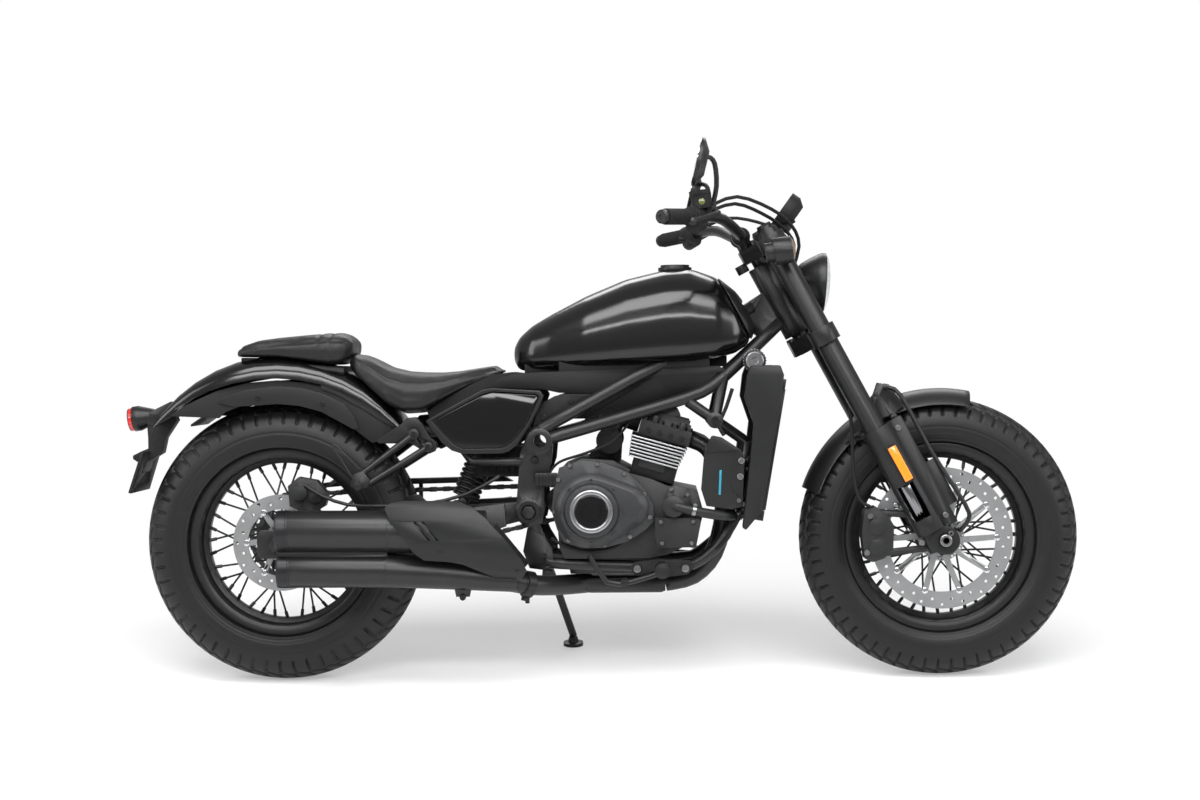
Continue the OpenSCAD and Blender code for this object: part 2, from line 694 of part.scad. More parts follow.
// cross section of the fender: outer arch, then the inner one back
function arch(x, w, t, lift_z) = let (zt = crown(x) + lift_z, ze = hem(x), s = 14)
  concat(
    [for (k = [0:s]) let (a = 180 * k / s)
      [x, w * sign(cos(a)) * pow(abs(cos(a)), 0.55), ze + (zt - ze) * pow(abs(sin(a)), 0.8)]],
    [for (k = [s:-1:0]) let (a = 180 * k / s)
      [x, (w - t) * sign(cos(a)) * pow(abs(cos(a)), 0.55), ze + (zt - t - ze) * pow(abs(sin(a)), 0.8)]]);

module rear_fender() place() color("#0a0a0c")
  skin([for (x = fender_xs) arch(x, fender_half - (x < -100 ? (-100 - x) * 0.14 : 0), 4, 0)]);

// fender's outer form, grown by g, to clear what seats on it
module fender_mass(g) {
  skin([for (x = fender_xs) let (w = fender_half + g - (x < -100 ? (-100 - x) * 0.14 : 0), s = 14)
    [for (k = [0:s]) let (a = 180 * k / s, low = hem(x) - 60)
      [x, w * sign(cos(a)) * pow(abs(cos(a)), 0.55), k == 0 || k == s ? low
        : hem(x) + (crown(x) + g - hem(x)) * pow(abs(sin(a)), 0.8)]]]);
}

seat_rows = [[160, 58, 722, 736, 748], [178, 0.6 * seat_half, 697, 728, 756], [212, 0.77 * seat_half,
  662, 702, 736],
  [250, 0.91 * seat_half, 629, 676, 714], [290, 0.98 * seat_half, 610, 658, 704], [330, seat_half, 612,
    656, 701],
  [370, 0.94 * seat_half, 633, 666, 700], [410, 0.81 * seat_half, 656, 682, 703],
  [450, 0.67 * seat_half, 677, 695, 709], [485, 0.54 * seat_half, 693, 705, 714], [508, 56, 702, 710, 717],
  [516, 42, 707, 712, 715]];
module rider_seat() place() color("#232220") difference() {
  body(seat_rows, 0.7, 0.55, 24);
  fender_mass(gap);
  translate([2 * gap, 0, 0]) body(pillion_rows, 0.7, 0.55, 24);
}

pillion_rows = [[-104, 50, 745, 751, 757], [-90, 76, 744, 757, 769], [-50, 90, 743, 760, 782],
  [0, 97, 741, 761, 788], [60, 102, 733, 759, 793], [112, 104, 724, 756, 797], [142, 100, 724, 757, 797],
  [158, 92, 735, 762, 791], [174, 72, 752, 768, 780]];
module pillion_seat() place() color("#262522") difference() {
  body(pillion_rows, 0.7, 0.55, 24);
  fender_mass(gap);
}

// seat pans between the pads and the fender
module seat_base() place() color("#1a1a1b") difference() {
  union() {
    body([[-90, 50, 728, 738, 743], [-40, 74, 706, 730, 742], [40, 84, 704, 722, 732], [110, 88, 700,
      714, 723],
      [150, 84, 690, 706, 721]], 0.4, 0.5, 20);
    plate([[340, 616], [370, 637], [410, 660], [450, 681], [488, 698], [530, 703], [560, 699], [530, 668],
      [470, 650], [400, 612], [350, 590]], -92 + gap, 92 - gap);
  }
  fender_mass(gap);
  translate([0, 0, gap]) pads_room();
}
// room for the pads above the pans
module pads_room() {
  translate([0, 0, -2 * gap]) body(seat_rows, 0.7, 0.55, 24);
  translate([0, 0, -2 * gap]) body(pillion_rows, 0.7, 0.55, 24);
}

module inner_fender() place() color("#141415") {
  guard_r = rear_tyre_r + 14;
  difference() {
    about_axle(0, rear_tyre_r) translate([guard_r, -88]) square([4, 176]);
    translate([-500, -200, -100]) cube([1000, 400, rear_tyre_r + 214]);
    translate([-500, -200, -100]) cube([300, 400, 1200]);
    translate([245, -200, 0]) cube([300, 400, 1200]);
  }
  both() plate([[-250, 612], [-235, 622], [-190, 646], [-140, 668], [-70, 686], [0, 691], [70, 684],
    [130, 668],
    [190, 636], [240, 600], [286, 566], [214, 546], [178, 574], [150, 600], [100, 628], [50, 642], [0, 648],
    [-60, 642], [-120, 620], [-135, 606]], 84, 88);
}

module fender_plates() place() color("#4c4e51") both()
  plate([[-137, 641], [-120, 655], [-70, 670], [0, 677], [60, 672], [110, 656], [150, 636], [172, 610],
    [184, 580], [172, 577], [150, 590], [100, 618], [50, 632], [0, 637], [-50, 634], [-100, 632]], 88, 92);

module tail_light() place() color("#26272a") {
  translate([-352, 0, 604]) rotate([0, 82, 0]) {
    cylinder(h = 14, r = 29);
    translate([0, 0, 14]) cylinder(h = 34, r1 = 29, r2 = 17);
  }
  plate([[-312, 620], [-262, 644], [-236, 640], [-262, 606], [-300, 586], [-318, 592]], -20, 20);
  translate([-362, 0, 602]) rotate([0, 82, 0]) cylinder(h = 10, r = 26);
}

module plate_bracket() place() color("#202124") {
  difference() {
    union() {
      plate([[-318, 591.4], [-300, 585.4], [-262, 605.4], [-255, 616], [-249, 600], [-276, 560], [-284,
        525], [-316, 506],
        [-334, 500], [-352, 512], [-352, 520], [-332, 530], [-316, 536], [-316, 560]], -19, 19);
      plate([[-316, 530], [-310, 530], [-340, 436], [-347, 438]], -85, 85);
    }
    for (y = [-40, 40]) translate([-360, y, 495]) rotate([0, 107, 0]) translate([0, 0, -30])
      cylinder(h = 120, r = 3.2);
  }
}

// right and left foot controls: plate, peg, pedal or lever
module foot_controls() place() color("#515356") {
  both() {
    difference() {
      plate([[796, 262], [806, 274], [860, 281], [930, 276], [940, 262], [926, 246], [880, 240], [806,
        244]],
        118 + gap, 130);
      disc(812, 260, 6, 0, 200);
      disc(920, 260, 6, 0, 200);
    }
    disc(868, 262, 14, 130, 224);
    disc(868, 262, 17, 150, 218);
  }
  bent(route([[868, -140, 252], [800, -146, 232], [745, -150, 232], [706, -150, 292]], 2), 6, 10);
  disc(784, 234, 8, -196, -146);
  bent(route([[868, 140, 252], [930, 146, 236], [985, 150, 262]], 2), 6, 10);
  disc(985, 262, 8, 144, 196);
}

module pillion_pegs() place() color("#54565a") both() {
  rod([315, 140, 567], [196, 141, 478], 7.5);
  rod([347, 140, 538], [214, 141, 456], 7.5);
  disc(315, 567, 12, 132 + gap, 146);
  disc(347, 538, 11, 132 + gap, 146);
  plate([[178, 478], [200, 486], [216, 466], [212, 450], [190, 444], [172, 452]], 130, 150);
  disc(190, 452, 9, 128, 160);
  bent(route([[176, 143, 470], [140, 143, 530], [134, 143, 540], [142, 143, 542], [190, 143, 490]], 2),
    2, 8);
}

module rear_caliper() place() color("#3a3b3e") {
  y1 = -hub_half - 6;
  difference() {
    plate([[24, 404], [20, 450], [44, 470], [86, 462], [112, 430], [104, 404], [70, 384]], -90, y1 + 12);
    disc(0, rear_tyre_r, rear_disc_r + 5, y1 - disc_t - 5, y1 + 5);
  }
  disc(48, 434, 17, -99, -89);
  disc(84, 424, 13, -97, -89);
  plate([[70, 392], [106, 372], [120, 350], [100, 345], [64, 380]], -102.7, -90);
  bent(route([[60, -94, 452], [100, -100, 428], [160, -112, 408], [240, -118, 405], [330, -124, 408],
    [430, -128, 430], [505, -128, 470]], 2), 4, 8);
}

// chain: one fixed loop round both sprockets
sprocket_x = 634;
sprocket_z = 398;
chain_tilt = atan2(sprocket_z - rear_tyre_r, sprocket_x);
chain_span = norm([sprocket_x, sprocket_z - rear_tyre_r]);
chain_spread = asin((rear_sprocket_r - front_sprocket_r) / chain_span);
// side outline of the loop, grown by g from its pitch line
function chain_loop(g) = concat(
  [for (k = [0:28])
    let (a = chain_tilt + 90 - chain_spread + k * (180 + 2 * chain_spread) / 28, r = rear_sprocket_r + g)
      [r * cos(a), rear_tyre_r + r * sin(a)]],
  [for (k = [0:14])
    let (a = chain_tilt - 90 + chain_spread + k * (180 - 2 * chain_spread) / 14, r = front_sprocket_r + g)
      [sprocket_x + r * cos(a), sprocket_z + r * sin(a)]]);
module chain() place() color("#66686b") {
  run = chain_span * cos(chain_spread);
  links = 20;
  difference() {
    plate(chain_loop(4.5), chain_y - 7, chain_y + 7);
    plate(chain_loop(-4.5), chain_y - 20, chain_y + 20);
  }
  // outer plates of every other link, on both runs and round both turns
  for (s = [1, -1], i = [0:links - 1]) {
    a = chain_tilt + s * (90 - chain_spread);
    translate([rear_sprocket_r * cos(a), 0, rear_tyre_r + rear_sprocket_r * sin(a)])
      rotate([0, -(chain_tilt - s * chain_spread), 0])
        translate([(i + 0.25) * run / links, chain_y - 9, -5.5]) cube([run / links / 2, 18, 11]);
  }
  for (i = [0:9]) translate([0, 0, rear_tyre_r]) rotate([0, -(100 + i * 18.6), 0])
    translate([rear_sprocket_r - 5.2, chain_y - 9, -7]) cube([11, 18, 14]);
  for (i = [-1:1]) translate([sprocket_x, 0, sprocket_z]) rotate([0, i * 52, 0])
    translate([front_sprocket_r - 5.2, chain_y - 9, -7]) cube([11, 18, 14]);
  disc(sprocket_x, sprocket_z, front_sprocket_r - 2, chain_y - 3, chain_y + 3);
  disc(sprocket_x, sprocket_z, 14, chain_y - 12 + gap, chain_y + 14);
}

// Side stand: pivot, foot and the axis between them
stand_pivot = [598, 146, 244];
stand_axis = unit([0.0, 0.80, 0.60]);
stand_eye = 14;
stand_pin_r = 8;
foot_y = 262;
// height of the foot's sole in the upright bike, so that it meets the floor when leaning
stand_foot = [650, foot_y, foot_y * tan(lean) - lift / cos(lean)];
// z along the hinge, outward and up
module stand_space() {
  translate(stand_pivot) rotate([0, acos(stand_axis[2]), atan2(stand_axis[1], stand_axis[0])]) children();
}
module side_stand() place() color("#3a3b3e") {
  difference() {
    union() {
      stand_space() translate([0, 0, -stand_eye / 2]) cylinder(h = stand_eye, r = 16);
      rod(stand_pivot + 10 * unit(stand_foot - stand_pivot), stand_foot + [0, -4, 22], 9);
    }
    stand_space() translate([0, 0, -20]) cylinder(h = 40, r = stand_pin_r + fit);
    stand_space() for (z = [-20 - stand_eye / 2, stand_eye / 2]) translate([0, 0, z]) cylinder(h = 20,
      r = 24);
  }
  translate(stand_foot) rotate([lean, 0, 0]) translate([0, -8, 0]) {
    cylinder(h = 8, r = 24);
    translate([0, 0, 6]) cylinder(h = 16, r1 = 14, r2 = 10);
  }
}

// Steering group, in the fork's own axes
tube_r = fork_tube_d / 2;
module fork_legs(r, z0, z1) {
  both() translate([yoke_offset, fork_y, z0]) cylinder(h = z1 - z0, r = r);
}

module fork_clamps() place() color("#2c2d30") fork_space() {
  difference() {
    union() {
      fork_legs(tube_r + 8, 512, 550);
      fork_legs(tube_r + 8, 752, 786);
      for (z = [514, 754]) linear_extrude_at(z, z == 514 ? 36 : 32)
        polygon([[-30, -34], [-30, 34], [18, 88], [60, 100], [66, 60], [40, 0], [66, -60], [60, -100],
          [18, -88]]);
      translate([0, 0, 512]) cylinder(h = 286, r = stem_r);
      translate([0, 0, 786]) cylinder(h = 8, r = 19);
    }
    for (s = [1, -1]) translate([yoke_offset, s * fork_y, 480]) cylinder(h = 400, r = tube_r);
  }
  // steering lock behind the upper clamp
  translate([-40, 0, 740]) cylinder(h = 20, r = 14);
  // steering stops of the lower clamp
  both() translate([-22, 34, 550]) cylinder(h = 6, r = 7);
}
module linear_extrude_at(z, h) {
  translate([0, 0, z]) linear_extrude(h) children();
}

module fork_tubes() place() color("#35363a") fork_space() {
  fork_legs(tube_r, 170, 800);
  fork_legs(tube_r - 6, 800, 808);
  fork_legs(tube_r + 2.5, 170, 190);
}

module stanchions() place() color("#b9bcc0") fork_space() {
  fork_legs(stanchion_d / 2, 62, 170);
}

// feet with the axle clamps, guards over the legs, mudguard carriers and reflectors
module fork_guards() place() color("#44464a") {
  difference() {
    union() {
      fork_space() {
        both() {
          translate([yoke_offset, fork_y, -14]) cylinder(h = 76, r = 25);
          translate([fork_reach, fork_y - 24, 0]) rotate([-90, 0, 0]) cylinder(h = 50, r = 32);
          difference() {
            translate([yoke_offset + 4, fork_y, 30]) cylinder(h = 262, r = 35);
            translate([yoke_offset + 4, fork_y, 20]) cylinder(h = 290, r = 32);
            translate([-60, 0, 0]) cube([200, fork_y - 8, 400]);
            translate([yoke_offset - 24, fork_y - 6, 66]) cube([40, 80, 86]);
          }
          translate([yoke_offset + 30, fork_y + 4, 24]) cube([34, 7, 268]);
          translate([yoke_offset + 60, fork_y - 2, 62]) cube([26, 6, 110]);
          translate([yoke_offset - 26, fork_y - 20, 262]) cube([20, 8, 30]);
        }
      }
    }
    fork_space() for (s = [1, -1]) translate([yoke_offset, s * fork_y, 60]) cylinder(h = 300, r = tube_r);
    fork_space() for (s = [1, -1]) translate([yoke_offset, s * fork_y, 40]) cylinder(h = 300,
      r = stanchion_d / 2);
    disc(front_x, front_tyre_r, 12, -200, 200);
  }
  // hollow axle
  difference() {
    disc(front_x, front_tyre_r, 11 - fit, -fork_y - 32, fork_y + 32);
    disc(front_x, front_tyre_r, axle_bore / 2, -fork_y - 40, fork_y + 40);
  }
  difference() {
    both() disc(front_x, front_tyre_r, 14, fork_y + 26 + gap, fork_y + 34);
    disc(front_x, front_tyre_r, 11, -fork_y - 40, fork_y + 40);
  }
}

fender_from = 78;
fender_to = 161;
module front_fender() place() color("#101012") {
  r = front_tyre_r + 12;
  half = front_tyre_w / 2 + 10;
  about_front(fender_from, fender_to) {
    difference() {
      intersection() {
        translate([r - half, 0]) circle(r = half + 3);
        translate([r - 34, -200]) square([100, 400]);
      }
      translate([r - half, 0]) circle(r = half);
    }
  }
  // carriers from the guards to the fender and the stay loop ahead of them
  both() {
    plate([[1362, 640], [1372, 668], [1384, 666], [1418, 618], [1392, 596], [1340, 580], [1300, 520],
      [1290, 550], [1330, 600]], half - 12, half - 5);
    bent(route([[1376, 92, 660], [1408, 100, 640], [1470, 112, 520], [1546, 122, 396], [1553, 122, 362],
      [1536, 116, 338]], 3), 5, 10);
    rod([1376, half - 10, 655], [1376, 93, 659], 5);
    rod([1536, 92, 338], [1536, 117, 338], 5);
    rod([1392, half - 8, 592], [1392, fork_y - 5, 592], 8);
    rod([1312, half - 8, 545], [1330, fork_y - 12, 552], 7);
  }
}
// arc a little above the front axle from angle a to angle b, counted from forward to up
module about_front(a, b) {
  translate([front_x + 5, 0, front_tyre_r + 6]) rotate([90, 0, 0]) rotate([0, 0, a])
    rotate_extrude(angle = b - a, $fn = 96) children();
}

module front_caliper() place() color("#3a3b3e") {
  difference() {
    plate([[1322, 384], [1316, 330], [1322, 276], [1340, 268], [1366, 276], [1386, 300], [1388, 350],
      [1372, 376], [1348, 392]], -118, -58);
    disc(front_x, front_tyre_r, front_disc_r + 5, -hub_half - 5 - disc_t - 5, -56);
  }
  for (z = [302, 348]) disc(1350, z, 18, -122, -117);
  rod([1330, -100, 378], [1330, -86, 378], 12);
  rod([1324, -110, 381], [1421, -109, 374], 8);
  rod([1326, -110, 284], [1461, -109, 298], 8);
}

// Handlebar and what is on it
grip_in = [936, 325, 1031.5];
grip_out = [880, bar_half, 1026];
// bar's middle in the fork's axes, above the upper clamp
bar_back = -10;
bar_rise = 816;
bar_x = foot_x + bar_back * cos(rake) - bar_rise * sin(rake);
bar_z = foot_z + bar_back * sin(rake) + bar_rise * cos(rake);
bar_path = [[bar_x, 56, bar_z], [bar_x - 12, 120, bar_z + 8], [1008, 200, 1034], [965, 280, 1036], grip_in];
module handlebar() place() color("#1c1d1f") {
  both() {
    bent(route(bar_path, 3), bar_d / 2, 14, [0, 0, 1]);
    rod(grip_in - 2 * unit(grip_out - grip_in), grip_out, bar_d / 2);
    disc(bar_x, bar_z, 21, 26, 53);
    fork_space() translate([bar_back, 41, 786 + gap]) cylinder(h = bar_rise - 786, r = 15);
  }
  rod([bar_x, -60, bar_z], [bar_x, 60, bar_z], bar_d / 2 + 2);
}

module grips() place() color("#202022") both() {
  v = unit(grip_out - grip_in);
  difference() {
    rod(grip_in + 6 * v, grip_out - 2 * v, 17);
    rod(grip_in, grip_out + 9 * v, bar_d / 2 + fit);
  }
  rod(grip_out + gap * v, grip_out + 12 * v, 14);
  difference() {
    rod(grip_in + 3 * v, grip_in + 6.5 * v, 20);
    rod(grip_in, grip_out, bar_d / 2 + fit);
  }
}

module bar_controls() place() color("#2a2b2d") {
  both() {
    rod([958, 284, 1036], [938, 326, 1032], 22);
    rod([958, 284, 1020], [942, 318, 1012], 17);
    bent(route([[984, 292, 1044], [996, 320, 1040], [972, 370, 1028], [940, bar_half - 8, 1016]], 3),
      6, 10);
    rod([984, 262, 1046], [984, 300, 1044], 13);
  }
  // brake fluid reservoir on the right
  translate([962, -300, 1050]) rotate([0, -8, 0]) cylinder(h = 30, r = 21);
  translate([958, -300, 1079]) rotate([0, -8, 0]) cylinder(h = 10, r = 23);
  // switch nubs
  rod([940, 300, 1022], [918, 304, 1022], 6);
  rod([940, -300, 1022], [918, -304, 1022], 6);
}

module mirrors() place() color("#2b2c2e") both() {
  bent(route([[984, 276, 1054], [994, 282, 1100], [990, 300, 1146], [976, 330, 1158], [966, 352,
    1150]], 3), 5.5, 10);
  translate([958, 362, 1144]) rotate([0, -76, 0]) {
    cylinder(h = 8, r = 52);
    translate([0, 0, -14]) cylinder(h = 14, r1 = 26, r2 = 50);
  }
}

module instrument() place() color("#202124") {
  fork_space() translate([28, -16, 786 + gap]) cube([90, 32, 6]);
  translate([1170, 0, 1058]) rotate([0, -54, 0]) dial_case();
}
module dial_case() {
  cylinder(h = 18, r = 43);
  translate([0, 0, -16]) cylinder(h = 16, r1 = 30, r2 = 42);
  translate([0, 0, 18]) difference() {
    cylinder(h = 4, r = 43);
    translate([0, 0, 0]) cylinder(h = 5, r = 38);
  }
  translate([-40, -24, -22]) cube([16, 48, 24]);
}

module headlight() place() color("#1f2023") {
  translate([1238, 0, 898]) rotate([0, 94, 0]) {
    cylinder(h = 10, r = 70);
    translate([0, 0, -52]) cylinder(h = 52, r1 = 42, r2 = 69);
    translate([0, 0, -62]) cylinder(h = 12, r = 34);
    translate([0, 0, 8]) intersection() {
      translate([0, 0, -146]) sphere(r = 162, $fn = 64);
      cylinder(h = 20, r = 65);
    }
  }
  // carrier arms to the fork legs
  both() rod([1196, 40, 900], [1168, fork_y - tube_r - 1, 905], 10);
  both() rod([1190, 38, 920], [1168, 84, 935], 8);
}

module front_signals() place() color("#2a2b2d") both() {
  rod([1146, fork_y + tube_r + gap, 946], [1146, 160, 958], 9);
  rod([1122, 176, 962], [1162, 176, 968], 30);
  rod([1104, 176, 959.3], [1122, 176, 962], 22);
}

// cables and the front brake hose, carried by the steering all the way
module hoses() place() color("#141415") {
  bent(route([[976, -272, 1056], [1040, -236, 1080], [1120, -150, 1058], [1168, -96, 1024], [1186, -60,
    980],
    [1172, -48, 900], [1222, -62, 790], [1262, -74, 720], [1290, -84, 640], [1298, -92, 560], [1300,
      -100, 470],
    [1312, -106, 410], [1336, -110, 392]], 3), 4, 8, [0, 1, 0.2]);
  bent(route([[976, -262, 1046], [1036, -220, 1066], [1100, -130, 1050], [1150, -70, 1022], [1176, -40,
    985],
    [1170, -20, 930]], 3), 4, 8, [0, 1, 0.2]);
  bent(route([[976, 262, 1046], [1036, 220, 1066], [1100, 130, 1050], [1150, 70, 1022], [1176, 40, 985],
    [1170, 20, 930]], 3), 4, 8, [0, 1, 0.2]);
}

frame();
subframe_castings();
swingarm();
rear_shock();
crankcase();
clutch_cover();
generator_cover();
cylinder_block();
cylinder_head();
airbox();
battery_box();
water_pump();
radiator();
radiator_shroud();
coolant_cover();
exhaust_pipes();
silencers();
heat_shield();
fuel_tank();
tank_trim();
filler_cap();
tank_panels();
side_covers();
side_panels();
rider_seat();
pillion_seat();
seat_base();
rear_fender();
inner_fender();
fender_plates();
tail_light();
plate_bracket();
foot_controls();
pillion_pegs();
rear_caliper();
chain();
rear_tyre();
rear_rim();
rear_hub();
rear_disc();
rear_sprocket();
side_stand();
fork_clamps();
fork_tubes();
stanchions();
fork_guards();
front_fender();
front_caliper();
handlebar();
grips();
bar_controls();
mirrors();
instrument();
headlight();
front_signals();
hoses();
front_tyre();
front_rim();
front_hub();
front_disc();
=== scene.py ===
"""Looks of a low bobber motorcycle that leans on its side stand."""

import json
import logging
import math
from dataclasses import dataclass
from enum import Enum
from typing import Callable, Iterable, Sequence

import bmesh
import bpy
from mathutils import Matrix, Vector
from mathutils.bvhtree import BVHTree

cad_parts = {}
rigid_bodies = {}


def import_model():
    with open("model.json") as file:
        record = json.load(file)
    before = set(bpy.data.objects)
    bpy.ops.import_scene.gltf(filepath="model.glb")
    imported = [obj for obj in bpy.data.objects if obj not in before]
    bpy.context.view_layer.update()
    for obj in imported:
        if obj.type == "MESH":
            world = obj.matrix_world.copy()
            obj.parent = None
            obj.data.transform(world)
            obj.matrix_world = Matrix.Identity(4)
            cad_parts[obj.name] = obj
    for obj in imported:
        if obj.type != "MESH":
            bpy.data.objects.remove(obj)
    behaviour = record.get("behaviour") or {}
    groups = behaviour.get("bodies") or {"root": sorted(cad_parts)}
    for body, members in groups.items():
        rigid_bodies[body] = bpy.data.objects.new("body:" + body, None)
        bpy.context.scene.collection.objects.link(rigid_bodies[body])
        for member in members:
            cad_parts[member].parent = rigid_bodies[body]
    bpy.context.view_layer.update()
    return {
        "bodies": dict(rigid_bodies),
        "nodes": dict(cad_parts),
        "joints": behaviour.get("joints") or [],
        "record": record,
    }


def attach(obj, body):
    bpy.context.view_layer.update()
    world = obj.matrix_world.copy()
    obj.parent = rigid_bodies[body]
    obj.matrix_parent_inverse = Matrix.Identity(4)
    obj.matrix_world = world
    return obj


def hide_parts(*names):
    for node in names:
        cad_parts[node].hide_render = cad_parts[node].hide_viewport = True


log = logging.getLogger("bobber")
Point = tuple[float, float, float]

# distance in metres within which the corners of a CAD mesh's loose triangles are merged
WELD = 0.00002
# place along the bike and height of each axle, in upright millimetres
FRONT_AXLE = (1500, 317)
REAR_AXLE = (0, 320)


class Grain(Enum):
    """How the surface of a finish is broken up."""

    SMOOTH = "smooth"
    POWDER = "powder"
    BRUSHED = "brushed"
    LEATHER = "leather"
    CAST = "cast"


@dataclass(frozen=True)
class Finish:
    """A surface finish, made as a node material.

    Attributes:
        name: material's name.
        color: base colour, linear RGB.
        rough: middle of the roughness.
        metal: metallic share.
        coat: weight of a clear coat.
        grain: how the surface is broken up.
        bump: strength of the grain's bump.
        vary: share by which the colour changes across the piece.
        glass: transmission weight.
        glow: emission strength of the base colour; on the fork reflectors it is a painted glow.
        shine: level of the plain reflection.
    """

    name: str
    color: Point
    rough: float = 0.5
    metal: float = 0.0
    coat: float = 0.0
    grain: Grain = Grain.SMOOTH
    bump: float = 0.1
    vary: float = 0.12
    glass: float = 0.0
    glow: float = 0.0
    shine: float = 0.5

    def material(self) -> bpy.types.Material:
        """Returns the material of this finish, made once."""
        found = bpy.data.materials.get("look_" + self.name)
        if found:
            return found
        mat = bpy.data.materials.new("look_" + self.name)
        mat.use_nodes = True
        nodes, links = mat.node_tree.nodes, mat.node_tree.links
        bsdf = nodes["Principled BSDF"]
        bsdf.inputs["Metallic"].default_value = self.metal
        bsdf.inputs["Coat Weight"].default_value = self.coat
        bsdf.inputs["Coat Roughness"].default_value = 0.8 * self.rough
        bsdf.inputs["Transmission Weight"].default_value = self.glass
        bsdf.inputs["IOR"].default_value = 1.48
        bsdf.inputs["Specular IOR Level"].default_value = self.shine
        if self.glow:
            bsdf.inputs["Emission Color"].default_value = (*self.color, 1)
            bsdf.inputs["Emission Strength"].default_value = self.glow
        place = nodes.new("ShaderNodeTexCoord")
        broad = self._noise(mat, place, 14.0, 4.0)
        shade = nodes.new("ShaderNodeMixRGB")
        shade.inputs["Color1"].default_value = (*(c * (1 - self.vary) for c in self.color), 1)
        shade.inputs["Color2"].default_value = (*(min(1.0, c * (1 + self.vary)) for c in self.color), 1)
        links.new(broad.outputs["Fac"], shade.inputs["Fac"])
        links.new(shade.outputs["Color"], bsdf.inputs["Base Color"])
        wear = nodes.new("ShaderNodeMapRange")
        wear.inputs["To Min"].default_value = max(0.02, self.rough * 0.86)
        wear.inputs["To Max"].default_value = min(1.0, self.rough * 1.14)
        links.new(broad.outputs["Fac"], wear.inputs["Value"])
        links.new(wear.outputs["Result"], bsdf.inputs["Roughness"])
        if self.grain is not Grain.SMOOTH:
            self._grain(mat, place, bsdf)
        return mat

    def _noise(self, mat: bpy.types.Material, place: bpy.types.Node, scale: float, detail: float) -> bpy.types.Node:
        """Adds a noise on object coordinates.

        Args:
            mat: material to add it to.
            place: texture coordinate node.
            scale: noise scale in cycles a metre.
            detail: octaves.

        Returns:
            The noise node.
        """
        noise = mat.node_tree.nodes.new("ShaderNodeTexNoise")
        noise.inputs["Scale"].default_value = scale
        noise.inputs["Detail"].default_value = detail
        mat.node_tree.links.new(place.outputs["Object"], noise.inputs["Vector"])
        return noise

    def _grain(self, mat: bpy.types.Material, place: bpy.types.Node, bsdf: bpy.types.Node) -> None:
        """Adds the grain's bump.

        Args:
            mat: material to add it to.
            place: texture coordinate node.
            bsdf: shader that takes the bump.
        """
        nodes, links = mat.node_tree.nodes, mat.node_tree.links
        bump = nodes.new("ShaderNodeBump")
        bump.inputs["Strength"].default_value = self.bump
        bump.inputs["Distance"].default_value = 0.0006
        if self.grain is Grain.LEATHER:
            cell = nodes.new("ShaderNodeTexVoronoi")
            cell.feature = "DISTANCE_TO_EDGE"
            cell.inputs["Scale"].default_value = 520.0
            links.new(place.outputs["Object"], cell.inputs["Vector"])
            links.new(cell.outputs["Distance"], bump.inputs["Height"])
        elif self.grain is Grain.BRUSHED:
            stretch = nodes.new("ShaderNodeMapping")
            stretch.inputs["Scale"].default_value = (40.0, 1400.0, 900.0)
            noise = self._noise(mat, place, 1.0, 3.0)
            links.new(place.outputs["Object"], stretch.inputs["Vector"])
            links.new(stretch.outputs["Vector"], noise.inputs["Vector"])
            links.new(noise.outputs["Fac"], bump.inputs["Height"])
        else:
            scale = 1500.0 if self.grain is Grain.POWDER else 420.0
            links.new(self._noise(mat, place, scale, 3.0).outputs["Fac"], bump.inputs["Height"])
        links.new(bump.outputs["Normal"], bsdf.inputs["Normal"])


FRAME_PAINT = Finish("frame_paint", (0.009, 0.009, 0.0095), 0.42, coat=0.15, grain=Grain.POWDER, bump=0.10, shine=0.35)
CASTING_GREY = Finish("casting_grey", (0.012, 0.012, 0.013), 0.42, metal=0.2, grain=Grain.CAST, bump=0.16, shine=0.35)
CASE_PAINT = Finish("case_paint", (0.017, 0.0172, 0.018), 0.46, metal=0.25, grain=Grain.CAST, bump=0.18, shine=0.4)
COVER_PAINT = Finish("cover_paint", (0.030, 0.0305, 0.032), 0.40, metal=0.35, grain=Grain.CAST, bump=0.10)
FIN_METAL = Finish("fin_metal", (0.50, 0.51, 0.52), 0.32, metal=0.9, grain=Grain.BRUSHED, bump=0.12)
TANK_GLOSS = Finish("tank_gloss", (0.0022, 0.0022, 0.0024), 0.22, coat=1.0, vary=0.05, shine=0.0)
SATIN_BLACK = Finish("satin_black", (0.0065, 0.0065, 0.007), 0.40, coat=0.12, grain=Grain.POWDER, bump=0.06, shine=0.35)
MATTE_GREY = Finish("matte_grey", (0.013, 0.0132, 0.0138), 0.40, metal=0.2, grain=Grain.POWDER, bump=0.16, shine=0.35)
MATTE_PLASTIC = Finish("matte_plastic", (0.0070, 0.0070, 0.0074), 0.62, grain=Grain.POWDER, bump=0.30, shine=0.3)
GLOSS_PLASTIC = Finish("gloss_plastic", (0.003, 0.003, 0.0033), 0.10, coat=0.8, vary=0.05, shine=0.0)
TYRE_RUBBER = Finish("tyre_rubber", (0.0058, 0.0058, 0.0060), 0.47, grain=Grain.POWDER, bump=0.22, shine=0.35)
SOFT_RUBBER = Finish("soft_rubber", (0.0065, 0.0065, 0.0067), 0.74, grain=Grain.CAST, bump=0.20, shine=0.3)
DISC_STEEL = Finish("disc_steel", (0.34, 0.345, 0.35), 0.42, metal=1.0, grain=Grain.BRUSHED, bump=0.06)
CHAIN_STEEL = Finish("chain_steel", (0.09, 0.09, 0.093), 0.40, metal=0.9, grain=Grain.CAST, bump=0.15)
BOLT_STEEL = Finish("bolt_steel", (0.27, 0.27, 0.28), 0.30, metal=1.0, vary=0.2)
DARK_BOLT = Finish("dark_bolt", (0.030, 0.030, 0.032), 0.36, metal=0.8, vary=0.2)
CHROME = Finish("chrome", (0.62, 0.63, 0.64), 0.09, metal=1.0, vary=0.04)
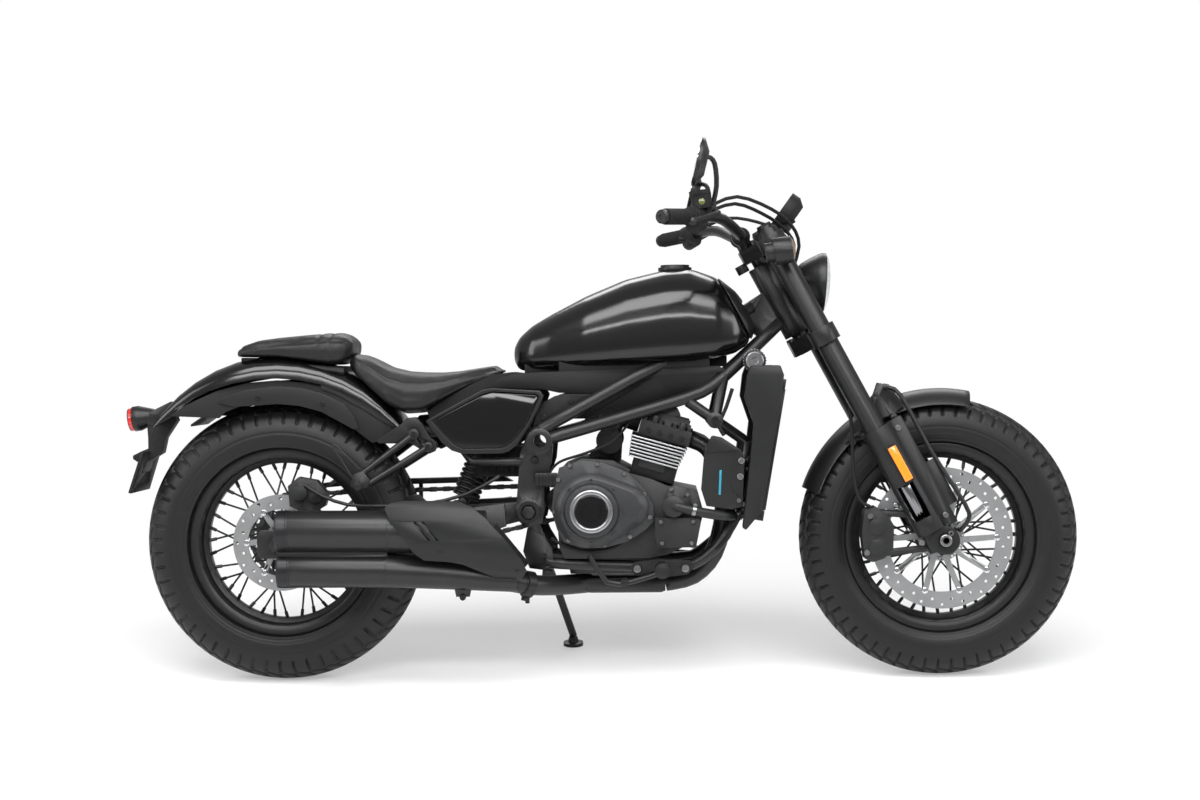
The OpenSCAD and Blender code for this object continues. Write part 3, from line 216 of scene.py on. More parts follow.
EXHAUST_BLACK = Finish("exhaust_black", (0.030, 0.030, 0.031), 0.33, metal=0.65, grain=Grain.POWDER, bump=0.14)
SEAT_LEATHER = Finish(
    "seat_leather", (0.0080, 0.0078, 0.0076), 0.46, grain=Grain.LEATHER, bump=0.2, vary=0.06, shine=0.35
)
STITCH = Finish("stitch", (0.030, 0.029, 0.028), 0.70, grain=Grain.CAST, bump=0.3)
CLEAR_LENS = Finish("clear_lens", (0.93, 0.95, 0.96), 0.03, glass=0.96, vary=0.01)
REFLECTOR = Finish("reflector", (0.78, 0.79, 0.80), 0.10, metal=1.0, vary=0.03)
RED_LENS = Finish("red_lens", (0.55, 0.012, 0.010), 0.10, coat=0.8, glow=0.10)
# painted glow: the amber fork reflectors emit light, though they are no lamp
AMBER_LENS_PAINTED_GLOW = Finish("amber_lens_painted_glow", (0.90, 0.22, 0.010), 0.18, coat=0.8, glow=0.25)
STANCHION_STEEL = Finish("stanchion_steel", (0.22, 0.22, 0.23), 0.16, metal=1.0, vary=0.04)
SMOKE_LENS = Finish("smoke_lens", (0.16, 0.085, 0.030), 0.08, coat=0.9)
MIRROR_GLASS = Finish("mirror_glass", (0.80, 0.81, 0.82), 0.02, metal=1.0, vary=0.01)
DIAL_FACE = Finish("dial_face", (0.010, 0.011, 0.013), 0.08, coat=1.0)
DIAL_MARK = Finish("dial_mark", (0.60, 0.62, 0.64), 0.4)
BLUE_STRIPE = Finish("blue_stripe", (0.020, 0.22, 0.32), 0.30, coat=0.4)
RED_SWITCH = Finish("red_switch", (0.55, 0.02, 0.02), 0.35)
FLUID_WINDOW = Finish("fluid_window", (0.12, 0.13, 0.035), 0.15, coat=0.6)
RING_METAL = Finish("ring_metal", (0.30, 0.30, 0.31), 0.28, metal=1.0, grain=Grain.BRUSHED)


@dataclass(frozen=True)
class Stance:
    """Where the upright bike, in millimetres from the foot of the rear axle, stands in the row frame."""

    lean: float = 8.0
    shift_x: float = 723.5
    shift_y: float = 148.0
    lift: float = 0.73
    rake: float = 28.0
    foot: Point = (1447.0231, 0.0, 288.8317)

    def row(self) -> Matrix:
        """Returns the matrix from upright millimetres to the row frame in metres."""
        return (
            Matrix.Scale(0.001, 4)
            @ Matrix.Translation((-self.shift_x, -self.shift_y, self.lift))
            @ Matrix.Rotation(math.radians(-self.lean), 4, "X")
        )

    def fork(self) -> Matrix:
        """Returns the matrix from the fork's own axes to upright millimetres."""
        return Matrix.Translation(self.foot) @ Matrix.Rotation(math.radians(-self.rake), 4, "Y")


STANCE = Stance()


def across(x: float, z: float, y: float, side: int) -> Matrix:
    """Axis system of a piece that points outwards across the bike.

    Args:
        x: place along the bike.
        z: height.
        y: distance of its foot from the centre plane.
        side: -1 on the right, 1 on the left.

    Returns:
        Matrix whose z axis points outwards on that side.
    """
    return Matrix.Translation((x, side * y, z)) @ outwards(side)


def outwards(side: int) -> Matrix:
    """Returns the turn that points the z axis outwards on a side, -1 the right and 1 the left."""
    return Matrix.Rotation(math.radians(-90.0 * side), 4, "X")


def towards(start: Sequence[float], end: Sequence[float]) -> Matrix:
    """Matrix at start whose z axis points to end.

    Args:
        start: foot of the axis.
        end: point that the axis runs to.

    Returns:
        The matrix.
    """
    run = Vector(end) - Vector(start)
    return Matrix.Translation(start) @ run.to_track_quat("Z", "Y").to_matrix().to_4x4()


class Maker:
    """Gathers bmesh parts of one piece in upright millimetres and makes the object."""

    def __init__(self, name: str) -> None:
        """Starts an empty piece.

        Args:
            name: name of the piece.
        """
        self.name = name
        self.mesh = bmesh.new()

    def _put(self, verts: Iterable[bmesh.types.BMVert], place: Matrix) -> None:
        """Moves new vertices to their place."""
        bmesh.ops.transform(self.mesh, matrix=place, verts=list(verts))

    def turned(self, profile: Sequence[tuple[float, float]], place: Matrix, steps: int = 32) -> None:
        """Adds a turned part.

        Args:
            profile: radius and height of the outline's corners, from the axis out and back to it, or closed.
            place: matrix of its axis.
            steps: steps of the full turn.
        """
        verts = [self.mesh.verts.new((r, 0.0, z)) for r, z in profile]
        pairs = list(zip(verts, verts[1:]))
        if profile[0][0] > 1e-6 or profile[-1][0] > 1e-6:
            pairs.append((verts[-1], verts[0]))
        edges = [self.mesh.edges.new(p) for p in pairs]
        old = set(self.mesh.verts) - set(verts)
        bmesh.ops.spin(
            self.mesh, geom=verts + edges, cent=(0, 0, 0), axis=(0, 0, 1), angle=math.tau, steps=steps, use_merge=True
        )
        new = [v for v in self.mesh.verts if v not in old]
        bmesh.ops.remove_doubles(self.mesh, verts=new, dist=1e-4)
        new = [v for v in self.mesh.verts if v not in old]
        faces = list({f for v in new for f in v.link_faces})
        bmesh.ops.recalc_face_normals(self.mesh, faces=faces)
        self._put(new, place)

    def bar(self, start: Sequence[float], end: Sequence[float], radius: float, steps: int = 16) -> None:
        """Adds a round bar with eased ends.

        Args:
            start: middle of one end.
            end: middle of the other.
            radius: radius of the bar.
            steps: sides.
        """
        length = (Vector(end) - Vector(start)).length
        ease = min(0.18 * radius, 1.5)
        self.turned(
            [(0, 0), (radius - ease, 0), (radius, ease), (radius, length - ease), (radius - ease, length), (0, length)],
            towards(start, end), steps,
        )

    def block(self, size: Point, place: Matrix, ease: float = 1.0) -> None:
        """Adds a block with bevelled edges, centred on its place.

        Args:
            size: lengths of its edges.
            place: matrix of its centre.
            ease: width of the bevel.
        """
        made = bmesh.ops.create_cube(self.mesh, size=1.0)["verts"]
        bmesh.ops.scale(self.mesh, vec=size, verts=made)
        edges = list({e for v in made for e in v.link_edges})
        old = set(self.mesh.verts) - set(made)
        bmesh.ops.bevel(
            self.mesh, geom=edges, offset=ease, offset_type="OFFSET", affect="EDGES", segments=2, profile=0.5,
            material=-1,
        )
        self._put([v for v in self.mesh.verts if v not in old], place)

    def slab(self, outline: Sequence[tuple[float, float]], y0: float, y1: float, ease: float = 0.8) -> None:
        """Adds a plate with an outline in side view.

        Args:
            outline: x and z of its corners.
            y0: height across the bike of one face.
            y1: height of the other face.
            ease: width of the bevel along its rims.
        """
        old = set(self.mesh.verts)
        face = self.mesh.faces.new([self.mesh.verts.new((x, y0, z)) for x, z in outline])
        grown = bmesh.ops.extrude_face_region(self.mesh, geom=[face])["geom"]
        top = [g for g in grown if isinstance(g, bmesh.types.BMVert)]
        bmesh.ops.translate(self.mesh, vec=(0, y1 - y0, 0), verts=top)
        new = [v for v in self.mesh.verts if v not in old]
        faces = list({f for v in new for f in v.link_faces})
        bmesh.ops.recalc_face_normals(self.mesh, faces=faces)
        rims = [e for e in {e for v in new for e in v.link_edges} if abs(e.verts[0].co.y - e.verts[1].co.y) < 1e-6]
        bmesh.ops.bevel(
            self.mesh, geom=rims, offset=ease, offset_type="OFFSET", affect="EDGES", segments=2, profile=0.5,
            material=-1,
        )

    def bent(self, path: Sequence[Point], radius: float, sides: int = 12, steps: int = 6) -> None:
        """Adds a bent round tube along a smooth path.

        Args:
            path: points that it runs through.
            radius: radius of the tube.
            sides: sides of its section.
            steps: steps between two points.
        """
        line = smooth(path, steps)
        old = set(self.mesh.verts)
        ring = bmesh.ops.create_circle(self.mesh, cap_ends=True, radius=radius, segments=sides)["verts"]
        face = ring[0].link_faces[0]
        self._put(ring, towards(line[0], line[1]))
        for i in range(1, len(line)):
            face = self._grow(face)
            ahead = line[min(i + 1, len(line) - 1)]
            before = line[i - 1]
            turn = (Vector(line[i]) - Vector(before)).normalized()
            onward = (Vector(ahead) - Vector(line[i])).normalized() if i < len(line) - 1 else turn
            aim = (turn + onward).normalized()
            past = Vector(face.normal)
            middle = face.calc_center_median()
            swing = past.rotation_difference(aim).to_matrix().to_4x4()
            move = Matrix.Translation(line[i]) @ swing @ Matrix.Translation(-middle)
            bmesh.ops.transform(self.mesh, matrix=move, verts=list(face.verts))
            face.normal_update()
        new = [v for v in self.mesh.verts if v not in old]
        bmesh.ops.recalc_face_normals(self.mesh, faces=list({f for v in new for f in v.link_faces}))

    def _grow(self, face: bmesh.types.BMFace) -> bmesh.types.BMFace:
        """Extrudes a face and returns its moved copy."""
        grown = bmesh.ops.extrude_face_region(self.mesh, geom=[face])["geom"]
        made = next(g for g in grown if isinstance(g, bmesh.types.BMFace))
        if face.is_valid:
            bmesh.ops.delete(self.mesh, geom=[face], context="FACES_ONLY")
        made.normal_update()
        return made

    def bolt(self, place: Matrix, radius: float, height: float) -> None:
        """Adds a socket head bolt.

        Args:
            place: matrix of its foot, z outwards.
            radius: radius of the head.
            height: height of the head.
        """
        cut = 0.5 * radius
        self.turned(
            [(0, 0), (radius, 0), (radius, 0.75 * height), (0.84 * radius, height), (cut, height), (cut, 0.45 * height),
             (0, 0.45 * height)],
            place, 18,
        )

    def done(
        self, finish: Finish, body: str, replaces: Sequence[str] = (), sharp: float = 32.0
    ) -> bpy.types.Object:
        """Makes the object, dresses it and lets it ride a body.

        Args:
            finish: its finish.
            body: CAD body that it moves with.
            replaces: CAD nodes that it stands for.
            sharp: angle over which an edge stays sharp.

        Returns:
            The finished object.
        """
        bmesh.ops.transform(self.mesh, matrix=STANCE.row(), verts=list(self.mesh.verts))
        data = bpy.data.meshes.new(self.name)
        self.mesh.to_mesh(data)
        self.mesh.free()
        return finished(data, self.name, finish, body, replaces, sharp)


def finished(
    data: bpy.types.Mesh, name: str, finish: Finish, body: str, replaces: Sequence[str] = (),
    sharp: float = 32.0,
) -> bpy.types.Object:
    """Turns a mesh in the row frame into a dressed piece.

    Args:
        data: the mesh.
        name: the piece's name.
        finish: its finish.
        body: CAD body that it moves with.
        replaces: CAD nodes that it stands for.
        sharp: angle over which an edge stays sharp.

    Returns:
        The piece.
    """
    data.shade_smooth()
    data.set_sharp_from_angle(angle=math.radians(sharp))
    piece = bpy.data.objects.new(name, data)
    bpy.context.scene.collection.objects.link(piece)
    data.materials.append(finish.material())
    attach(piece, body)
    if replaces:
        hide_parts(*replaces)
    log.info("piece %s, %d faces, rides %s", name, len(data.polygons), body)
    return piece


def merged(node: bpy.types.Object, name: str, thin: bool = True) -> bpy.types.Mesh:
    """Copies a CAD node's loose triangles into one closed mesh.

    Args:
        node: the CAD node, which stays as it is.
        name: name of the new mesh.
        thin: whether slivers are dissolved too.

    Returns:
        The merged copy.
    """
    mesh = bmesh.new()
    mesh.from_mesh(node.data)
    bmesh.ops.remove_doubles(mesh, verts=list(mesh.verts), dist=WELD)
    if thin:
        bmesh.ops.dissolve_degenerate(mesh, dist=WELD, edges=list(mesh.edges))
    data = bpy.data.meshes.new(name)
    mesh.to_mesh(data)
    mesh.free()
    return data


def remeshed(name: str, data: bpy.types.Mesh, voxel: float) -> bpy.types.Object:
    """Makes an object of a mesh, with an even remesh as a modifier.

    Args:
        name: name of the object.
        data: its mesh.
        voxel: size of the even mesh, in metres.

    Returns:
        The object.
    """
    body = bpy.data.objects.new(name, data)
    bpy.context.scene.collection.objects.link(body)
    remesh = body.modifiers.new("remesh", "REMESH")
    remesh.mode = "VOXEL"
    remesh.voxel_size = voxel
    return body


def smooth(path: Sequence[Point], steps: int) -> list[Vector]:
    """Smooth line through points.

    Args:
        path: the points.
        steps: steps between two of them.

    Returns:
        Points along the line.
    """
    pts = [Vector(p) for p in path]
    line = []
    for i in range(len(pts) - 1):
        a, b, c, d = pts[max(i - 1, 0)], pts[i], pts[i + 1], pts[min(i + 2, len(pts) - 1)]
        for j in range(steps):
            t = j / steps
            line.append(
                0.5 * (2 * b + (c - a) * t + (2 * a - 5 * b + 4 * c - d) * t * t + (3 * b - a - 3 * c + d) * t ** 3)
            )
    line.append(pts[-1])
    return line


@dataclass
class CadDress:
    """Finish and eased edges of the CAD nodes that show as they are.

    Attributes:
        nodes: the CAD nodes by name.
        slots: the record's material slot of each node; not used.
        table: node, finish and bevel width in millimetres.
    """

    nodes: dict[str, bpy.types.Object]
    slots: dict[str, str]
    table: tuple[tuple[str, Finish, float], ...] = (
        ("frame", FRAME_PAINT, 0.0), ("subframe_castings", CASTING_GREY, 2.2), ("swingarm", FRAME_PAINT, 2.0),
        ("rear_shock", SATIN_BLACK, 0.8), ("crankcase", CASE_PAINT, 2.6), ("clutch_cover", COVER_PAINT, 2.4),
        ("generator_cover", COVER_PAINT, 2.6), ("cylinder_block", CASE_PAINT, 0.5), ("cylinder_head", CASE_PAINT, 1.8),
        ("airbox", MATTE_PLASTIC, 2.0), ("battery_box", MATTE_PLASTIC, 0.8), ("water_pump", CASE_PAINT, 0.0),
        ("radiator", SATIN_BLACK, 0.3), ("radiator_shroud", MATTE_GREY, 4.0), ("coolant_cover", MATTE_GREY, 4.0),
        ("exhaust_pipes", EXHAUST_BLACK, 0.0), ("silencers", EXHAUST_BLACK, 1.2), ("heat_shield", MATTE_GREY, 0.8),
        ("filler_cap", SATIN_BLACK, 1.2),
        ("tank_panels", MATTE_PLASTIC, 1.2), ("side_covers", SATIN_BLACK, 2.0), ("side_panels", GLOSS_PLASTIC, 2.0),
        ("inner_fender", MATTE_PLASTIC, 0.8),
        ("fender_plates", MATTE_GREY, 1.2), ("tail_light", SATIN_BLACK, 1.5), ("plate_bracket", MATTE_PLASTIC, 1.2),
        ("foot_controls", SATIN_BLACK, 1.2), ("pillion_pegs", SATIN_BLACK, 1.0), ("rear_caliper", CASE_PAINT, 1.5),
        ("chain", CHAIN_STEEL, 0.6), ("rear_rim", SATIN_BLACK, 1.0), ("rear_hub", SATIN_BLACK, 0.8),
        ("side_stand", FRAME_PAINT, 1.0),
        ("fork_clamps", SATIN_BLACK, 2.0), ("fork_tubes", SATIN_BLACK, 0.8), ("stanchions", STANCHION_STEEL, 0.0),
        ("fork_guards", MATTE_GREY, 1.2), ("front_fender", SATIN_BLACK, 0.0), ("front_caliper", CASE_PAINT, 1.8),
        ("bar_controls", MATTE_PLASTIC, 1.0), ("mirrors", SATIN_BLACK, 1.0),
        ("instrument", MATTE_PLASTIC, 1.2), ("front_signals", SATIN_BLACK, 1.0), ("hoses", SOFT_RUBBER, 0.0),
        ("front_rim", SATIN_BLACK, 1.0), ("front_hub", SATIN_BLACK, 0.8),
    )

    def build(self) -> None:
        """Dresses each node of the table."""
        for name, finish, ease in self.table:
            node = self.nodes[name]
            node.data.materials.clear()
            node.data.materials.append(finish.material())
            node.data.shade_smooth()
            weld = node.modifiers.new("weld", "WELD")
            weld.merge_threshold = WELD
            bevel = node.modifiers.new("ease", "BEVEL")
            bevel.width = max(ease, 0.25) / 1000
            bevel.segments = 2 if ease else 1
            bevel.limit_method = "ANGLE"
            bevel.angle_limit = math.radians(34)
            bevel.harden_normals = True
            bevel.use_clamp_overlap = True
            bevel.miter_outer = "MITER_ARC"
            log.info("node %s dressed as %s", name, finish.name)


@dataclass
class Shell:
    """Smooth skin over a curved CAD body.

    Attributes:
        node: CAD node that it replaces.
        finish: its finish.
        body: body that it moves with.
        sharp: angle over which an edge stays sharp.
        voxel: size of the even mesh that rounds its facets off, or 0 to keep them.
    """

    node: str
    finish: Finish
    body: str = "root"
    sharp: float = 36.0
    voxel: float = 0.0

    def build(self, nodes: dict[str, bpy.types.Object], slots: dict[str, str]) -> bpy.types.Object:
        """Makes the skin.

        Args:
            nodes: the CAD nodes.
            slots: material slot of each node; not used.

        Returns:
            The piece.
        """
        data = merged(nodes[self.node], self.node + "_skin")
        if self.voxel:
            data = self._even(data)
        return finished(data, self.node + "_skin", self.finish, self.body, [self.node], self.sharp)

    def _even(self, data: bpy.types.Mesh) -> bpy.types.Mesh:
        """Remeshes a closed body evenly and rounds its facets off.

        Args:
            data: mesh of the body.

        Returns:
            The rounded mesh.
        """
        body = remeshed(self.node + "_even", data, self.voxel)
        ease = body.modifiers.new("ease", "SMOOTH")
        ease.factor, ease.iterations = 0.5, 36
        made = bpy.data.meshes.new_from_object(body.evaluated_get(bpy.context.evaluated_depsgraph_get()))
        bpy.data.objects.remove(body)
        return made


@dataclass
class Tyre:
    """Tyre with a zigzag tread.

    Attributes:
        name: CAD node that it replaces.
        x: place of the axle.
        radius: outer radius.
        width: section width.
        body: body that it turns with.
        seat: radius of its beads.
        turns: steps of the full turn.
        pitch: number of tread pitches round the tyre.
    """

    name: str
    x: float
    radius: float
    width: float
    body: str
    seat: float = 217.3
    turns: int = 720
    pitch: int = 60

    def build(self) -> bpy.types.Object:
        """Makes the tyre.

        Returns:
            The piece.
        """
        maker = Maker(self.name + "_tread")
        half = self.width / 2
        middle = self.radius - half
        reach = math.acos(max(-1.0, min(1.0, (self.seat - middle) / half)))
        count = int(2 * reach * half / 2.6)
        arc = [reach * (2 * k / count - 1) for k in range(count + 1)]
        profile = [(middle + half * math.cos(a), half * math.sin(a)) for a in arc]
        profile += [(self.seat - 1, profile[-1][1] - 8), (self.seat - 1, profile[0][1] + 8)]
        maker.turned(profile, Matrix.Identity(4), self.turns)
        for v in maker.mesh.verts:
            self._shape(v, middle, half)
        spot = Matrix.Translation((self.x, 0, self.radius)) @ Matrix.Rotation(math.pi / 2, 4, "X")
        bmesh.ops.transform(maker.mesh, matrix=spot, verts=list(maker.mesh.verts))
        return maker.done(TYRE_RUBBER, self.body, [self.name], 60.0)

    def _shape(self, v: bmesh.types.BMVert, middle: float, half: float) -> None:
        """Sinks one vertex by the depth of the tread or the side wall's lines."""
        r = math.hypot(v.co.x, v.co.y)
        if r < self.seat:
            return
        a = math.atan2(v.co.z, r - middle)
        along = math.atan2(v.co.y, v.co.x) / math.tau * self.pitch
        deep = self._tread(along, a * half) if abs(a) < 1.2 else self._wall(r)
        if deep:
            k = 1 - deep / half
            ring = middle + (r - middle) * k
            v.co.x, v.co.y, v.co.z = v.co.x * ring / r, v.co.y * ring / r, v.co.z * k

    def _tread(self, along: float, s: float) -> float:
        """Depth of the tread at a place.

        Args:
            along: place round the tyre in pitches.
            s: distance from the middle of the tread along its face.

        Returns:
            Depth in millimetres.
        """
        wave = 2 * abs(2 * (along % 1.0) - 1) - 1
        side = abs(s)
        lines = [abs(s - 7 * wave), abs(side - 0.32 * self.width - 4 * wave)]
        shift = (along + 0.5 * (s > 0)) % 1.0
        if 0.10 * self.width < side < 0.27 * self.width:
            lean = (side / self.width - 0.10) * 2.4
            lines.append(abs(((shift + lean) % 1.0) - 0.5) * 33)
        if side > 0.37 * self.width:
            lines.append(abs(((shift + 0.25) % 1.0) - 0.5) * 33)
        near = min(lines)
        return 4.4 * max(0.0, min(1.0, (3.6 - near) / 1.4))

    def _wall(self, r: float) -> float:
        """Depth of the fine rings on the side wall at radius r."""
        rings = (self.seat + 6, self.seat + 12, self.seat + 34, self.radius - 34)
        return 1.2 if min(abs(r - q) for q in rings) < 1.6 else 0.0


@dataclass
class Pad:
    """Stuffed pad with a sewn seam round its sides.

    Attributes:
        node: CAD node that it replaces.
        seam: x and height of the side seam.
        half: half of the pad's width, in millimetres.
        cap: furthest that a point may swell, in metres.
        straps: places of seams across the pad.
        voxel: size of the remesh.
        inset: how far the cover is drawn in before it swells.
        groove: depth of a seam's groove.
        groove_half: half of the groove's width, in millimetres.
    """

    node: str
    seam: tuple[tuple[float, float], ...]
    half: float
    cap: float = 0.006
    straps: tuple[float, ...] = ()
    voxel: float = 0.005
    inset: float = 0.0022
    groove: float = 0.0028
    groove_half: float = 6.0

    def build(self, nodes: dict[str, bpy.types.Object]) -> bpy.types.Object:
        """Makes the pad and its stitches.

        Args:
            nodes: the CAD nodes.

        Returns:
            The pad.
        """
        data = merged(nodes[self.node], self.node + "_pad", thin=False)
        pad = remeshed(self.node + "_pad", data, self.voxel)
        self._apply(pad)
        self._move(pad, lambda v: v.co - (self.inset if v.normal.z > -0.5 else 0.0) * v.normal)
        before = [(v.co.copy(), v.normal.z < -0.5) for v in pad.data.vertices]
        self._swell(pad)
        for v, (old, under) in zip(pad.data.vertices, before):
            step = v.co - old
            if under:
                v.co = old
            elif step.length > self.cap:
                v.co = old + step * (self.cap / step.length)
        even = pad.modifiers.new("even", "SMOOTH")
        even.factor, even.iterations = 0.5, 5
        self._apply(pad)
        self._sew(pad)
        for face in pad.data.polygons:
            face.use_smooth = True
        finer = pad.modifiers.new("finer", "SUBSURF")
        finer.levels = finer.render_levels = 1
        pad.data.materials.append(SEAT_LEATHER.material())
        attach(pad, "root")
        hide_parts(self.node)
        log.info("piece %s, %d faces", pad.name, len(pad.data.polygons))
        self._stitches(pad)
        return pad

    def _apply(self, pad: bpy.types.Object) -> None:
        """Applies the modifiers of a piece to its mesh."""
        graph = bpy.context.evaluated_depsgraph_get()
        made = bpy.data.meshes.new_from_object(pad.evaluated_get(graph))
        pad.modifiers.clear()
        pad.data = made

    def _move(self, pad: bpy.types.Object, rule: Callable[[bpy.types.MeshVertex], Vector]) -> None:
        """Moves each vertex by a rule."""
        for v, co in [(v, rule(v)) for v in pad.data.vertices]:
            v.co = co

    def _swell(self, pad: bpy.types.Object) -> None:
        """Fills the cover by a cloth simulation with pressure inside."""
        cloth = pad.modifiers.new("fill", "CLOTH")
        cloth.settings.use_pressure = True
        cloth.settings.uniform_pressure_force = 4.0
        cloth.settings.effector_weights.gravity = 0.0
        cloth.settings.quality = 4
        cloth.point_cache.frame_end = 20
        for frame in range(1, 21):
            bpy.context.scene.frame_set(frame)
        self._apply(pad)
        bpy.context.scene.frame_set(1)

    def _height(self, x: float) -> float:
        """Height of the seam at x, in upright millimetres."""
        for (x0, z0), (x1, z1) in zip(self.seam, self.seam[1:]):
            if x0 <= x <= x1:
                return z0 + (z1 - z0) * (x - x0) / (x1 - x0)
        return self.seam[0][1] if x < self.seam[0][0] else self.seam[-1][1]

    def _sew(self, pad: bpy.types.Object) -> None:
        """Draws the cover in along its seams."""
        back = STANCE.row().inverted()
        for v in pad.data.vertices:
            p = back @ v.co
            near = abs(p.z - self._height(p.x)) if self.seam[0][0] < p.x < self.seam[-1][0] else 99.0
            if self.straps:
                near = min(near, *(abs(p.x - s - 0.15 * (p.z - 780)) for s in self.straps))
            if near < self.groove_half and v.normal.z > -0.6:
                v.co -= v.normal * self.groove * (1 - near / self.groove_half) ** 0.7

    def _stitches(self, pad: bpy.types.Object) -> None:
        """Adds a row of stitches just above the side seam."""
        tree = BVHTree.FromObject(pad, bpy.context.evaluated_depsgraph_get())
        row, back = STANCE.row(), STANCE.row().inverted()
        maker = Maker(self.node + "_stitches")
        for side in (-1, 1):
            x = self.seam[0][0] + 6
            while x < self.seam[-1][0] - 8:
                ends = []
                for step in (0.0, 4.2):
                    start = row @ Vector((x + step, side * (self.half + 60), self._height(x + step) + 5.0))
                    aim = (row.to_3x3() @ Vector((0, -side, 0))).normalized()
                    hit = tree.ray_cast(start, aim, 0.2)[0]
                    if hit is not None:
                        ends.append(back @ hit)
                if len(ends) == 2 and (ends[0] - ends[1]).length < 9:
                    maker.bar(ends[0], ends[1], 0.75, 6)
                x += 6.4
        maker.done(STITCH, "root")


@dataclass
class BoltRows:
    """Bolts on the engine and the frame.

    Each row holds x, z, distance from the centre plane, radius and height.

    Attributes:
        right: bolts on the right side of the engine.
        both: bolts that both sides of the frame have.
    """

    right: tuple[tuple[float, float, float, float, float], ...] = (
        (664, 494, 146, 5.5, 6), (726, 496, 146, 5.5, 6), (786, 474, 146, 5.5, 6), (830, 428, 146, 5.5, 6),
        (842, 376, 146, 5.5, 6), (797, 333, 146, 5.5, 6), (740, 316, 146, 5.5, 6), (660, 326, 146, 5.5, 6),
        (631, 390, 146, 5.5, 6), (638, 462, 146, 5.5, 6), (866, 366, 152, 5, 6), (938, 366, 152, 5, 6),
        (868, 318, 152, 5, 6), (934, 318, 152, 5, 6), (890, 438, 144, 5, 6), (926, 426, 144, 5, 6),
        (1047, 500, 152, 7, 4), (1044, 465, 152, 7, 4), (1040, 412, 152, 5, 4),
        (812, 260, 130, 9, 7), (920, 260, 130, 9, 7),
    )
    both: tuple[tuple[float, float, float, float, float], ...] = (
        (666, 637, 123, 6, 3), (606, 601, 123, 6, 3), (-45, 652, 92, 6, 3), (102, 636, 92, 6, 3),
        (315, 567, 146, 8, 4), (347, 538, 146, 7.5, 4), (990, 590, 124, 11, 5), (603, 290, 124, 6, 5),
        (732, 602, 97, 5, 3), (585, 505, 122, 9, 8),
    )

    def build(self) -> None:
        """Makes the bolts on the engine and the frame."""
        maker = Maker("case_bolts")
        for x, z, y, r, h in self.right:
            maker.bolt(across(x, z, y, -1), r, h)
        maker.done(BOLT_STEEL, "root")
        maker = Maker("frame_bolts")
        for x, z, y, r, h in self.both:
            for side in (-1, 1):
                maker.bolt(across(x, z, y, side), r, h)
        maker.bolt(across(381, 315, 238, -1), 7, 3)
        maker.bolt(across(549, 271, 222, -1), 7, 3)
        maker.done(DARK_BOLT, "root")
        maker = Maker("left_case_bolts")
        for x, z in ((656, 330), (648, 400), (668, 458), (722, 480), (784, 462), (828, 424), (836, 390), (818, 350),
                     (776, 326), (722, 312)):
            maker.bolt(across(x, z, 128, 1), 5.5, 6)
        maker.done(BOLT_STEEL, "root")


